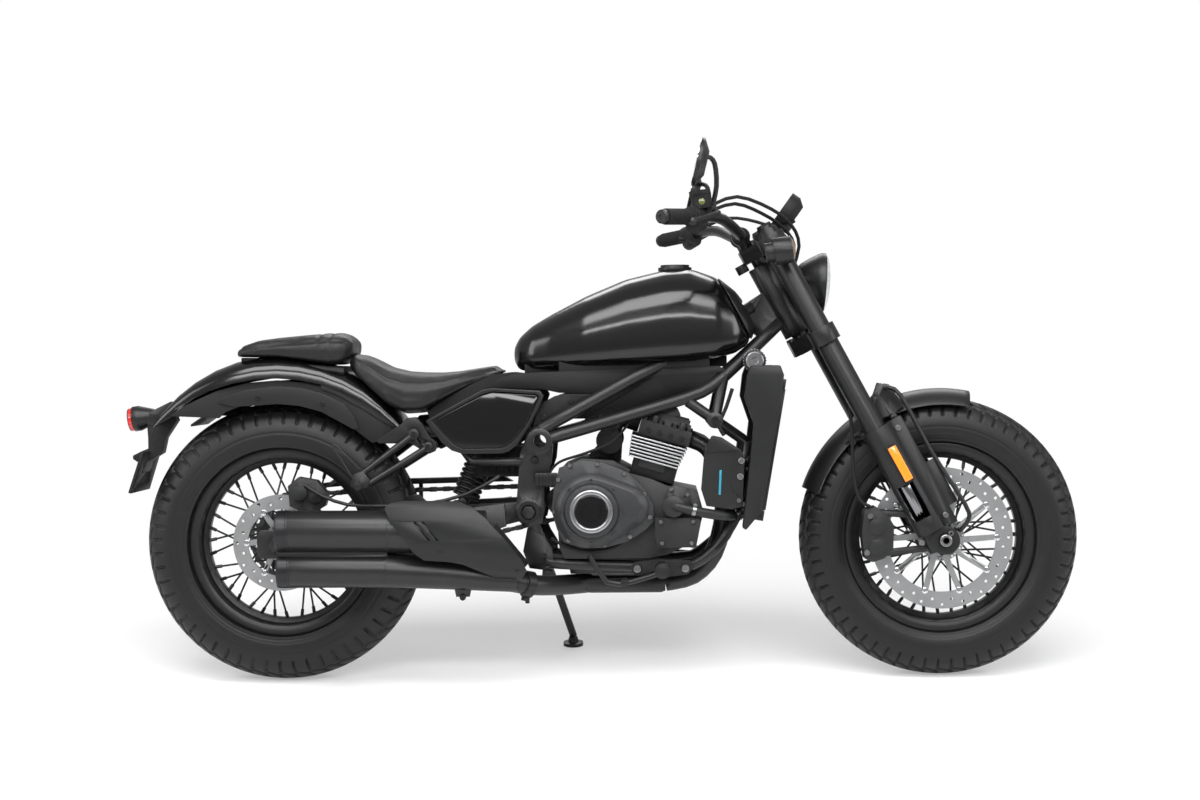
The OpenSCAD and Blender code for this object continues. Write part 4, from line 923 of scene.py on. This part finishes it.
@dataclass
class Engine:
    """Trim of the engine: bright ring, fin edges, cover ribs, hoses and plugs.

    Attributes:
        x: middle of the clutch cover.
        z: its height.
        face: distance of its outer face from the centre plane.
    """

    x: float = 712.0
    z: float = 392.0
    face: float = 182.0

    def barrel(self) -> Matrix:
        """Returns the matrix of the barrels' axis system."""
        return Matrix.Translation((845, 0, 446)) @ Matrix.Rotation(math.radians(16), 4, "Y")

    def build(self) -> None:
        """Makes the trim."""
        spot = across(self.x, self.z, self.face, -1)
        ring = Maker("clutch_ring")
        ring.turned([(38.2, 0.1), (47.6, 0.1), (47.6, 0.8), (45.5, 2.0), (40.5, 2.0), (38.2, 0.8)], spot, 96)
        ring.done(RING_METAL, "root")
        cap = Maker("clutch_cap")
        sunk = spot @ Matrix.Translation((0, 0, -3.9))
        cap.turned([(0, 0), (36.6, 0), (36.6, 3), (35, 4), (22.6, 4), (22, 5.2), (20.5, 5.2), (20, 4), (12, 4.4),
                    (0, 4.6)], sunk, 96)
        cap.done(GLOSS_PLASTIC, "root")
        self._covers()
        self._barrels()
        self._hoses()
        self._linkage()

    def _covers(self) -> None:
        """Makes the raised rims of the clutch cover and the round lid of the generator cover."""
        rims = Maker("cover_rims")
        spot = across(self.x, self.z, 174, -1)
        rims.turned([(58.2, -12), (63, -11), (60, -2), (58.2, 0)], spot, 72)
        lid = across(744, 396, 154, 1)
        rims.turned([(0, 0.1), (30, 0.1), (30, 2.4), (28, 3.4), (10, 3.4), (8, 1.6), (0, 1.6)], lid, 48)
        for a in range(0, 360, 45):
            x, z = self.x + 71 * math.cos(math.radians(a)), self.z + 71 * math.sin(math.radians(a))
            rims.block((3.2, 7.0, 14.0), across(x, z, 162, -1) @ Matrix.Rotation(math.radians(a), 4, "Z"), 0.8)
        rims.done(COVER_PAINT, "root")

    def _barrels(self) -> None:
        """Makes the polished edges of the fins and the nuts on the head."""
        edges = Maker("fin_edges")
        for i in range(7):
            z = 51 + 7.5 * i + 1.7
            x0, x1 = -66 - i, 48 + 1.5 * i
            for side in (-1, 1):
                place = self.barrel() @ Matrix.Translation(((x0 + x1) / 2, side * 136.4, z))
                edges.block((x1 - x0 - 2, 2.2, 3.2), place, 0.6)
        edges.done(FIN_METAL, "root")
        nuts = Maker("head_nuts")
        for side in (-1, 1):
            for x in (-52, -16, 16, 50):
                place = self.barrel() @ Matrix.Translation((x, side * 111, 137.4))
                nuts.turned([(0, 0), (8, 0), (8, 8), (6.6, 9.5), (0, 9.5)], place, 6)
            for x, z in ((-38, 118), (-12, 118), (14, 118), (40, 118)):
                nuts.bolt(self.barrel() @ across(x, z, 118, side), 5, 4)
        nuts.done(DARK_BOLT, "root")
        plug = Maker("plug_caps")
        for side in (-1, 1):
            plug.bent([(858, side * 84, 590), (856, side * 88, 612), (838, side * 92, 628), (806, side * 88, 634)],
                      4.5, 10)
        plug.done(SOFT_RUBBER, "root")

    def _hoses(self) -> None:
        """Makes the wires and pipes that cross the engine."""
        wires = Maker("engine_wires")
        wires.bent([(776, -131, 316), (740, -134, 302), (690, -134, 300), (650, -133, 312), (620, -130, 330)], 3.4, 8)
        wires.bent([(560, -112, 446), (590, -120, 452), (612, -122, 470), (640, -124, 500), (700, -124, 520),
                    (760, -120, 545), (800, -112, 590)], 3.0, 8)
        wires.bent([(1046, -124, 380), (1030, -126, 350), (1010, -120, 320), (990, -112, 300)], 4.2, 8)
        wires.bent([(1010, -124, 556), (1000, -120, 580), (1016, -112, 620), (1030, -104, 660)], 4.5, 8)
        wires.done(SOFT_RUBBER, "root")
        clamps = Maker("hose_clamps")
        for start, end in (((936, -159.8, 391), (946, -159.0, 388.6)), ((1034, -113.8, 374), (1042, -110.4, 376))):
            clamps.turned([(11.3, 0), (12.6, 0), (12.6, 8), (11.3, 8)], towards(start, end), 32)
            clamps.block((8, 5, 8), towards(start, end) @ Matrix.Translation((0, 13.4, 4)), 0.8)
        clamps.done(BOLT_STEEL, "root")

    def _linkage(self) -> None:
        """Makes the shift linkage on the left and the ribbed box by the clutch cover on the right."""
        rods = Maker("shift_link")
        rods.bar((985, 152, 272), (800, 146, 318), 4.5, 12)
        rods.bar((800, 132, 318), (800, 150, 318), 8, 16)
        rods.bar((985, 146, 272), (985, 158, 272), 8, 16)
        rods.done(BOLT_STEEL, "root")
        unit = Maker("regulator")
        unit.block((50, 11, 28), Matrix.Translation((611, -139.6, 463)), 2.0)
        for i in range(6):
            unit.block((3, 5, 24), Matrix.Translation((593 + 7.2 * i, -146.4, 463)), 0.8)
        unit.done(SATIN_BLACK, "root")


@dataclass
class Chassis:
    """Trim of the silencers, exhaust clamp, pivots, tail light, coolant cover, radiator and tank."""

    def build(self) -> None:
        """Makes the trim."""
        ends = Maker("silencer_ends")
        for y, z, r, bore in ((-190, 355, 47, 24), (-182, 268, 39, 18)):
            place = Matrix.Translation((13.9, y, z)) @ Matrix.Rotation(math.radians(-90), 4, "Y")
            ends.turned([(bore, -20), (bore + 1.2, 0), (r - 4, 0.2), (r - 1, -2.2), (r + 0.5, -4), (r + 0.5, -24),
                         (r - 1, -24), (r - 2, -6), (bore + 3, -3), (bore + 2, -20)], place, 72)
        ends.done(DARK_BOLT, "root")
        seams = Maker("silencer_seams")
        for x, y, z, r in ((40, -190, 355, 47), (262, -190, 353, 47), (40, -182, 268, 39), (256, -182, 267, 39)):
            place = Matrix.Translation((x, y, z)) @ Matrix.Rotation(math.radians(90), 4, "Y")
            seams.turned([(r - 0.5, 0), (r + 0.8, 0.4), (r + 0.8, 2.4), (r - 0.5, 2.8)], place, 72)
        seams.done(EXHAUST_BLACK, "root")
        clamp = Maker("exhaust_clamp")
        axis = towards((576, -146, 227), (556, -156, 232))
        clamp.turned([(28.2, 0), (29.6, 0), (29.6, 18), (28.2, 18)], axis, 48)
        clamp.block((14, 10, 16), axis @ Matrix.Translation((0, -33, 9)), 1.5)
        clamp.bar((566, -150, 186), (566, -150, 206), 5, 12)
        clamp.bar((425, -180, 205), (425, -192, 205), 7, 12)
        clamp.done(DARK_BOLT, "root")
        pivots = Maker("pivot_caps")
        for side in (-1, 1):
            pivots.turned([(15.4, 0), (26.6, 0), (26.6, 3), (25, 4.2), (17, 4.2), (15.4, 3)],
                          across(570, 389, 134.2, side), 48)
            pivots.turned([(15.4, 0), (27, 0), (27, 2), (25, 3), (16, 3), (15.4, 2)],
                          across(597, 548, 152.1, side), 48)
        pivots.done(SATIN_BLACK, "root")
        self._light()
        self._stripe()
        self._tank_seal()

    def _tank_seal(self) -> None:
        """Makes the rubber strips between the tank's lower edge and the rails under it."""
        tank = next(o for o in bpy.context.scene.objects if o.name.startswith("fuel_tank_skin"))
        tree = BVHTree.FromObject(tank, bpy.context.evaluated_depsgraph_get())
        row, back = STANCE.row(), STANCE.row().inverted()
        strip = Maker("tank_seal")
        for side, y, first, last in ((-1, 93, 600, 981), (1, 93, 600, 981), (-1, 52, 560, 1021), (1, 52, 560, 1021)):
            crest = []
            for x in range(first, last, 20):
                start = row @ Vector((x, side * y, 640))
                hit = tree.ray_cast(start, (row.to_3x3() @ Vector((0, 0, 1))).normalized(), 0.3)[0]
                if hit is not None:
                    crest.append((x, (back @ hit).z + 1.0))
            foot = [(x, 700 + 0.025 * (x - 600)) for x, _ in crest]
            strip.slab(foot + crest[::-1], side * y, side * (y + 4), 0.3)
        strip.done(SOFT_RUBBER, "root")

    def _light(self) -> None:
        """Makes the tail light's lens."""
        lens = Maker("tail_lens")
        tilt = Matrix.Translation((-362, 0, 602)) @ Matrix.Rotation(math.radians(82 - 180), 4, "Y")
        lens.turned([(0, 2.0), (12, 1.7), (20, 1.0), (25, -0.8), (27, -3), (27, -9), (24, -9), (0, -2)], tilt, 48)
        lens.done(RED_LENS, "root")

    def _stripe(self) -> None:
        """Makes the coolant window, the slots in its cover, and the radiator's ribbed cap and side rims."""
        stripe = Maker("coolant_window")
        stripe.slab([(995, 425), (1000, 425), (1003, 480), (998, 480)], -152.1, -153.0, 0.4)
        stripe.done(BLUE_STRIPE, "root")
        slots = Maker("cover_slots")
        for i in range(3):
            x = 1020 + 6 * i
            slots.slab([(x, 446 - 4 * i), (x + 3, 447 - 4 * i), (x + 12, 428 - 4 * i), (x + 9, 427 - 4 * i)],
                       -152.1, -153.2, 0.4)
        slots.done(MATTE_PLASTIC, "root")
        cap = Maker("radiator_cap_ribs")
        cap.turned([(0, 0), (20, 0), (20, 1.6), (18, 3), (8, 3), (6.5, 1.8), (0, 1.8)],
                   across(1081.5, 722.5, 100.1, -1), 36)
        for i in range(24):
            turn = Matrix.Rotation(math.tau * i / 24, 4, "Z") @ Matrix.Translation((25.4, 0, 0))
            cap.block((2.4, 3.2, 13), across(1081.5, 722.5, 92.5, -1) @ turn, 0.6)
        cap.done(BOLT_STEEL, "root")
        rim = Maker("radiator_rims")
        core = Matrix.Translation((1042, 0, 372)) @ Matrix.Rotation(math.radians(10), 4, "Y")
        for side in (-1, 1):
            rim.block((7, 7, 276), core @ Matrix.Translation((52.6, side * 107.6, 162)), 1.2)
        rim.done(SATIN_BLACK, "root")


@dataclass
class Wheels:
    """Spoke nipples, disc buttons, valve stems and axle caps.

    Attributes:
        spokes: number of spokes in a wheel.
    """

    spokes: int = 36

    def build(self) -> None:
        """Makes the small parts of both wheels."""
        for name, (x, r), body, flange in (
            ("front", FRONT_AXLE, "front_wheel", 45), ("rear", REAR_AXLE, "rear_wheel", 57),
        ):
            maker = Maker(name + "_nipples")
            for i in range(self.spokes):
                edge = 1 if i % 2 == 0 else -1
                a = math.tau * i / self.spokes
                b = a + math.radians(34 if i % 4 < 2 else -34)
                start = Vector((x + 181 * math.cos(a), edge * 4, r + 181 * math.sin(a)))
                end = Vector((x + flange * math.cos(b), edge * 33, r + flange * math.sin(b)))
                aim = (end - start).normalized()
                maker.bar(start, start + 17 * aim, 4.0, 8)
            maker.done(DARK_BOLT, body)
            valve = Maker(name + "_valve")
            valve.bar((x + 177, 0, r), (x + 150, 0, r), 4.2, 12)
            valve.bar((x + 152, 0, r), (x + 142, 0, r), 5.0, 12)
            valve.done(SOFT_RUBBER, body)
        self._buttons("front", *FRONT_AXLE, 72.3, 125, 10, "front_wheel")
        self._buttons("rear", *REAR_AXLE, 73, 79, 6, "rear_wheel")
        caps = Maker("axle_caps")
        for side in (-1, 1):
            caps.turned([(7.4, 0), (13.4, 0), (13.4, 2), (12, 3), (7.4, 3)], across(*FRONT_AXLE, 144.1, side), 36)
        caps.done(BOLT_STEEL, "steering")
        for body, (x, r), y in (("front_wheel", FRONT_AXLE, 72.5), ("rear_wheel", REAR_AXLE, 73.2)):
            heads = Maker(body + "_disc_bolts")
            for i in range(6):
                a = math.tau * (i + 0.5) / 6
                heads.bolt(across(x + 35.5 * math.cos(a), r + 35.5 * math.sin(a), y, -1), 4.6, 3)
            heads.done(DARK_BOLT, body)

    def _buttons(self, name: str, x: float, r: float, y: float, ring: float, count: int, body: str) -> None:
        """Makes the floating buttons of a disc.

        Args:
            name: which wheel.
            x: place of the axle.
            r: its height.
            y: distance of the disc's outer face.
            ring: radius of the button circle.
            count: number of buttons.
            body: body that they turn with.
        """
        maker = Maker(name + "_disc_buttons")
        for i in range(count):
            a = math.tau * i / count
            place = across(x + ring * math.cos(a), r - ring * math.sin(a), y, -1)
            maker.turned([(0, 0), (7, 0), (7, 1.2), (5.6, 1.8), (3, 1.8), (2.6, 0.9), (0, 0.9)], place, 20)
        maker.done(CHROME, body)


@dataclass
class Cockpit:
    """Headlight, dial, grips, mirrors' glass, switches and reservoir window."""

    def build(self) -> None:
        """Makes the pieces on the fork and the bar."""
        self._headlight()
        self._dial()
        self._grips()
        self._mirrors()
        self._signals()
        self._fork()

    def _headlight(self) -> None:
        """Makes the headlight with its bowl and lens."""
        axis = Matrix.Translation((1238, 0, 898)) @ Matrix.Rotation(math.radians(94), 4, "Y")
        shell = Maker("headlight_shell")
        shell.turned([(0, -62), (22, -61), (34, -56), (44, -46), (56, -28), (66, -10), (69.5, -2), (70, 4), (69, 9),
                      (66, 10), (64.5, 8), (64.5, 2), (60, -8), (46, -30), (24, -44), (0, -48)], axis, 96)
        for side in (-1, 1):
            shell.bar((1196, side * 40, 900), (1168, side * 84, 905), 9.5, 20)
            shell.bar((1190, side * 38, 920), (1168, side * 84, 935), 7.5, 20)
        shell.done(SATIN_BLACK, "steering", ["headlight"])
        bowl = Maker("headlight_bowl")
        bowl.turned([(0, -40), (14, -39), (26, -34), (44, -22), (56, -8), (63.5, 1), (62.5, 1.6), (54, -6), (42, -20),
                     (24, -32), (13, -36.5), (0, -37.5)], axis, 96)
        bowl.block((118, 2.2, 12), axis @ Matrix.Translation((0, 0, -9)), 0.6)
        bowl.turned([(0, -34), (13, -34), (15, -20), (12, -12), (0, -9)], axis @ Matrix.Translation((22, 0, 0)), 32)
        bowl.turned([(0, -34), (13, -34), (15, -20), (12, -12), (0, -9)], axis @ Matrix.Translation((-22, 0, 0)), 32)
        bowl.done(REFLECTOR, "steering")
        lens = Maker("headlight_lens")
        angles = (0.0, 0.25, 0.5, 0.75, 1.0, 1.2, 1.4, math.pi / 2)
        outer = [(65 * math.sin(t), 8 + 13.6 * math.cos(t)) for t in angles]
        inner = [(62.5 * math.sin(t), 6 + 13.2 * math.cos(t)) for t in reversed(angles)]
        lens.turned(outer + [(65, 3), (62.5, 3)] + inner, axis, 96)
        lens.done(CLEAR_LENS, "steering")

    def _dial(self) -> None:
        """Makes the dial's face and marks."""
        axis = Matrix.Translation((1170, 0, 1058)) @ Matrix.Rotation(math.radians(-54), 4, "Y")
        face = Maker("dial_face")
        face.turned([(0, 18.1), (37.6, 18.1), (37.6, 19.6), (36, 20.4), (0, 20.9)], axis, 64)
        face.done(DIAL_FACE, "steering")
        marks = Maker("dial_marks")
        for i in range(21):
            a = math.radians(-120 + 12 * i)
            size = (1.0, 5.0 if i % 2 == 0 else 3.0, 0.3)
            marks.block(size, axis @ Matrix.Rotation(a, 4, "Z") @ Matrix.Translation((0, 31, 20.9)), 0.12)
        marks.done(DIAL_MARK, "steering")

    def _grips(self) -> None:
        """Makes the ribbed grips and the bar-end weights."""
        rubber = Maker("grip_rubber")
        weights = Maker("bar_ends")
        for side in (-1, 1):
            start, end = Vector((936, side * 325, 1031.5)), Vector((880, side * 415, 1026))
            length = (end - start).length
            profile = [(12.6, 3), (20, 3), (20.4, 5), (19, 7), (16.2, 8)]
            for k in range(24):
                z = 9 + k * (length - 14) / 24
                w = (length - 14) / 24
                profile += [(16.9, z), (17.3, z + 0.3 * w), (17.3, z + 0.6 * w), (16.2, z + 0.8 * w)]
            profile += [(17, length - 4), (16, length - 1), (12.6, length - 1)]
            rubber.turned(profile, towards(start, end), 40)
            weights.turned([(0, length + 0.3), (13, length + 0.3), (15, length + 3), (15, length + 10),
                            (12, length + 13), (5, length + 13), (4, length + 11), (0, length + 11)],
                           towards(start, end), 40)
        rubber.done(SOFT_RUBBER, "steering", ["grips"])
        weights.done(SATIN_BLACK, "steering")
        levers = Maker("lever_ends")
        for side in (-1, 1):
            levers.turned([(0, -8), (5, -7), (7.6, -3), (8, 0), (7.6, 3), (5, 7), (0, 8)],
                          Matrix.Translation((940, side * 407, 1016)), 24)
        levers.done(SATIN_BLACK, "steering")
        switch = Maker("stop_switch")
        switch.bar((919, -304, 1022), (914, -305, 1022), 6.4, 20)
        switch.done(RED_SWITCH, "steering")
        window = Maker("fluid_window")
        window.turned([(0, 0), (7, 0), (7, 1), (6, 1.6), (0, 1.6)],
                      Matrix.Translation((961, -321.0, 1064)) @ Matrix.Rotation(math.pi / 2, 4, "X"), 24)
        window.done(FLUID_WINDOW, "steering")

    def _mirrors(self) -> None:
        """Makes the mirrors' glass and the swivel balls."""
        glass = Maker("mirror_glass")
        balls = Maker("mirror_swivels")
        for side in (-1, 1):
            axis = Matrix.Translation((958, side * 362, 1144)) @ Matrix.Rotation(math.radians(-76), 4, "Y")
            glass.turned([(0, 8.05), (48.6, 8.05), (48.6, 8.6), (47.8, 9.2), (0, 9.2)], axis, 72)
            balls.turned([(0, 0), (8.5, 0), (9, 4), (9, 10), (7.5, 14), (0, 14)],
                         towards((984, side * 276, 1052), (986, side * 278, 1066)), 6)
        glass.done(MIRROR_GLASS, "steering")
        balls.done(SATIN_BLACK, "steering")

    def _signals(self) -> None:
        """Makes the lenses of the front turn signals."""
        lens = Maker("signal_lenses")
        for side in (-1, 1):
            axis = towards((1162, side * 176, 968), (1172, side * 176, 969.5))
            lens.turned([(0, 8), (10, 7.4), (20, 5), (26, 1.5), (28, 0.1), (26, 0.05), (0, 0.05)], axis, 48)
        lens.done(SMOKE_LENS, "steering")

    def _fork(self) -> None:
        """Makes the reflectors, dust seals, caps and guard bolts of the fork."""
        fork = STANCE.fork()
        amber = Maker("fork_reflectors")
        frame = Maker("reflector_frames")
        for side in (-1, 1):
            # radially outwards on the round guard
            turn = fork @ Matrix.Translation((46, side * 110, 200)) @ Matrix.Rotation(math.radians(side * 80), 4, "Z")
            amber.block((5, 20, 84), turn @ Matrix.Translation((38.6, 0, 0)), 2.0)
            frame.block((5, 26, 92), turn @ Matrix.Translation((36.2, 0, 0)), 1.8)
        # painted glow: the reflectors' amber finish emits light
        amber.done(AMBER_LENS_PAINTED_GLOW, "steering")
        frame.done(MATTE_PLASTIC, "steering")
        seals = Maker("fork_seals")
        caps = Maker("fork_caps")
        for side in (-1, 1):
            leg = fork @ Matrix.Translation((42, side * 110, 0))
            seals.turned([(20.6, 152), (24, 153), (25.6, 158), (25.6, 168), (24, 169.8), (20.6, 169.8)], leg, 48)
            caps.turned([(0, 808), (17, 808), (17, 812), (15, 814), (9, 814), (8, 811), (0, 811)], leg, 6)
            caps.turned([(25.1, 776), (26.4, 777), (26.4, 783), (25.1, 784)], leg, 48)
        seals.done(SOFT_RUBBER, "steering")
        caps.done(DARK_BOLT, "steering")
        bolts = Maker("fork_bolts")
        for side in (-1, 1):
            for xf, zf in ((12, 20), (78, 8)):
                bolts.bolt(fork @ across(xf, zf, 134, side), 6, 4)
            for xf, zf in ((88, 270), (88, 48)):
                bolts.bolt(fork @ across(xf, zf, 121, side), 6.5, 3.4)
        for x, z in ((1335, 372), (1327, 290)):
            bolts.bolt(across(x, z, 118, -1), 7, 6)
        bolts.done(BOLT_STEEL, "steering")


def onlooker(tree: bpy.types.NodeTree) -> bpy.types.NodeSocket:
    """Adds the mask of rays that see the backdrop: the camera's and those through glass or off a mirror.

    Args:
        tree: nodes to add it to.

    Returns:
        The mask, 1 where the backdrop shows white.
    """
    path = tree.nodes.new("ShaderNodeLightPath")
    mirror = tree.nodes.new("ShaderNodeMath")
    mirror.operation = "MULTIPLY"
    mirror.inputs[1].default_value = 0.35
    tree.links.new(path.outputs["Is Glossy Ray"], mirror.inputs[0])
    last = mirror.outputs[0]
    for ray in ("Is Camera Ray", "Is Transmission Ray"):
        either = tree.nodes.new("ShaderNodeMath")
        either.operation = "MAXIMUM"
        tree.links.new(path.outputs[ray], either.inputs[0])
        tree.links.new(last, either.inputs[1])
        last = either.outputs[0]
    return last


def floor_paint(mat: bpy.types.Material) -> None:
    """Makes a pale floor that keeps the shadow near the bike and fades to the white backdrop.

    Args:
        mat: material of the floor.
    """
    mat.use_nodes = True
    nodes, links = mat.node_tree.nodes, mat.node_tree.links
    bsdf = nodes["Principled BSDF"]
    bsdf.inputs["Base Color"].default_value = (0.92, 0.92, 0.92, 1)
    bsdf.inputs["Roughness"].default_value = 0.9
    bsdf.inputs["Specular IOR Level"].default_value = 0.1
    place = nodes.new("ShaderNodeTexCoord")
    far = nodes.new("ShaderNodeVectorMath")
    far.operation = "LENGTH"
    links.new(place.outputs["Object"], far.inputs[0])
    fade = nodes.new("ShaderNodeMapRange")
    fade.interpolation_type = "SMOOTHSTEP"
    fade.inputs["From Min"].default_value = 0.9
    fade.inputs["From Max"].default_value = 2.2
    fade.inputs["To Min"].default_value = 0.35
    links.new(far.outputs["Value"], fade.inputs["Value"])
    share = nodes.new("ShaderNodeMath")
    share.operation = "MULTIPLY"
    links.new(fade.outputs["Result"], share.inputs[0])
    links.new(onlooker(mat.node_tree), share.inputs[1])
    white = nodes.new("ShaderNodeEmission")
    mix = nodes.new("ShaderNodeMixShader")
    links.new(share.outputs[0], mix.inputs["Fac"])
    links.new(bsdf.outputs["BSDF"], mix.inputs[1])
    links.new(white.outputs["Emission"], mix.inputs[2])
    links.new(mix.outputs["Shader"], nodes["Material Output"].inputs["Surface"])


def background(tree: bpy.types.NodeTree, light: float) -> None:
    """Lets the world light softly and show white behind the bike.

    Args:
        tree: the world's nodes.
        light: strength of its light.
    """
    nodes, links = tree.nodes, tree.links
    seen = onlooker(tree)
    strength = nodes.new("ShaderNodeMapRange")
    strength.inputs["To Min"].default_value = light
    strength.inputs["To Max"].default_value = 1.0
    links.new(seen, strength.inputs["Value"])
    nodes["Background"].inputs["Color"].default_value = (1, 1, 1, 1)
    links.new(strength.outputs["Result"], nodes["Background"].inputs["Strength"])


@dataclass(frozen=True)
class Lamp:
    """Soft rectangular lamp.

    Attributes:
        name: the lamp's name.
        place: where it hangs, in the row frame.
        aim: point that it faces.
        size: its two sides in metres.
        power: its power in watts.
        mirrored: whether shiny surfaces show it.
    """

    name: str
    place: Point
    aim: Point
    size: tuple[float, float]
    power: float
    mirrored: bool = True

    def hang(self) -> None:
        """Makes the lamp."""
        data = bpy.data.lights.new(self.name, "AREA")
        data.shape, data.size, data.size_y, data.energy = "RECTANGLE", *self.size, self.power
        lamp = bpy.data.objects.new(self.name, data)
        lamp.location = self.place
        lamp.rotation_euler = (Vector(self.aim) - Vector(self.place)).to_track_quat("-Z", "Y").to_euler()
        lamp.visible_glossy = self.mirrored
        bpy.context.scene.collection.objects.link(lamp)


WORLD_LIGHT = 0.11
LAMPS = (
    Lamp("top", (-0.1, -1.5, 3.3), (0.0, 0.0, 0.5), (4.2, 1.3), 135.0),
    Lamp("right", (-1.2, -4.0, 2.0), (0.0, 0.0, 0.5), (3.6, 1.8), 30.0, mirrored=False),
    Lamp("strip", (-0.1, -2.9, 2.5), (0.0, 0.0, 0.5), (4.6, 0.4), 75.0),
    Lamp("nose", (3.6, -1.4, 1.8), (0.3, 0.0, 0.6), (1.4, 2.0), 45.0),
    Lamp("left", (0.4, 3.4, 3.0), (0.0, 0.0, 0.6), (3.8, 1.4), 70.0),
    Lamp("tail", (-3.6, -1.2, 1.8), (-0.4, 0.0, 0.6), (1.4, 2.0), 40.0),
)


def studio() -> None:
    """Makes the pale floor, the soft lamps, the world and the camera."""
    scene = bpy.context.scene
    scene.view_settings.view_transform = "Standard"
    scene.render.film_transparent = False
    bpy.ops.mesh.primitive_plane_add(size=60, location=(0, 0, 0))
    floor = bpy.context.object
    floor.name = "floor"
    mat = bpy.data.materials.new("floor_white")
    floor_paint(mat)
    floor.data.materials.append(mat)
    world = bpy.data.worlds.new("studio")
    scene.world = world
    world.use_nodes = True
    background(world.node_tree, WORLD_LIGHT)
    for lamp in LAMPS:
        lamp.hang()
    viewpoint()


def viewpoint() -> None:
    """Makes the camera, fitted to the photograph's view of the upright bike and leaning with it."""
    scene = bpy.context.scene
    yaw, pitch, roll = (math.radians(a) for a in (-1.65, -1.08, -0.68))
    ahead = Vector((math.sin(yaw) * math.cos(pitch), math.cos(yaw) * math.cos(pitch), math.sin(pitch)))
    right = Vector((math.cos(yaw), -math.sin(yaw), 0))
    up = right.cross(ahead)
    right, up = right * math.cos(roll) + up * math.sin(roll), up * math.cos(roll) - right * math.sin(roll)
    turn = Matrix((right, up, -ahead)).transposed()
    data = bpy.data.cameras.new("camera")
    data.sensor_width, data.lens = 36.0, 36.0 * 2001 / 1200
    data.dof.use_dof = False
    camera = bpy.data.objects.new("camera", data)
    scene.collection.objects.link(camera)
    lean = Matrix.Rotation(math.radians(-STANCE.lean), 3, "X")
    spot = STANCE.row() @ Vector((862, -4608, 723))
    camera.matrix_world = Matrix.Translation(spot) @ (lean @ turn).to_4x4()
    scene.camera = camera


def main() -> None:
    """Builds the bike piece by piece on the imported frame."""
    logging.basicConfig(level=logging.INFO, format="%(name)s: %(message)s")
    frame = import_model()
    slots = {s["node"]: s["material_slot"] for s in frame["record"]["subparts"]}
    studio()
    CadDress(frame["nodes"], slots).build()
    for shell in (
        Shell("fuel_tank", TANK_GLOSS, sharp=70.0, voxel=0.004),
        Shell("tank_trim", SATIN_BLACK, sharp=70.0, voxel=0.003),
        Shell("seat_base", MATTE_PLASTIC), Shell("rear_fender", TANK_GLOSS),
        Shell("handlebar", SATIN_BLACK, "steering"),
        Shell("front_disc", DISC_STEEL, "front_wheel", 28.0), Shell("rear_disc", DISC_STEEL, "rear_wheel", 28.0),
        Shell("rear_sprocket", CHAIN_STEEL, "rear_wheel", 28.0),
    ):
        shell.build(frame["nodes"], slots)
    Tyre("front_tyre", *FRONT_AXLE, 130, "front_wheel").build()
    Tyre("rear_tyre", *REAR_AXLE, 150, "rear_wheel", pitch=56).build()
    Pad("rider_seat", ((186, 728), (250, 686), (290, 674), (330, 672), (370, 676), (410, 686), (450, 697), (495, 709)),
        138).build(frame["nodes"])
    Pad("pillion_seat", ((-92, 762), (0, 772), (60, 776), (112, 779), (160, 778)),
        104, cap=0.003, straps=(92.0, 118.0)).build(frame["nodes"])
    BoltRows().build()
    Engine().build()
    Chassis().build()
    Wheels().build()
    Cockpit().build()


if __name__ == "__main__":
    main()
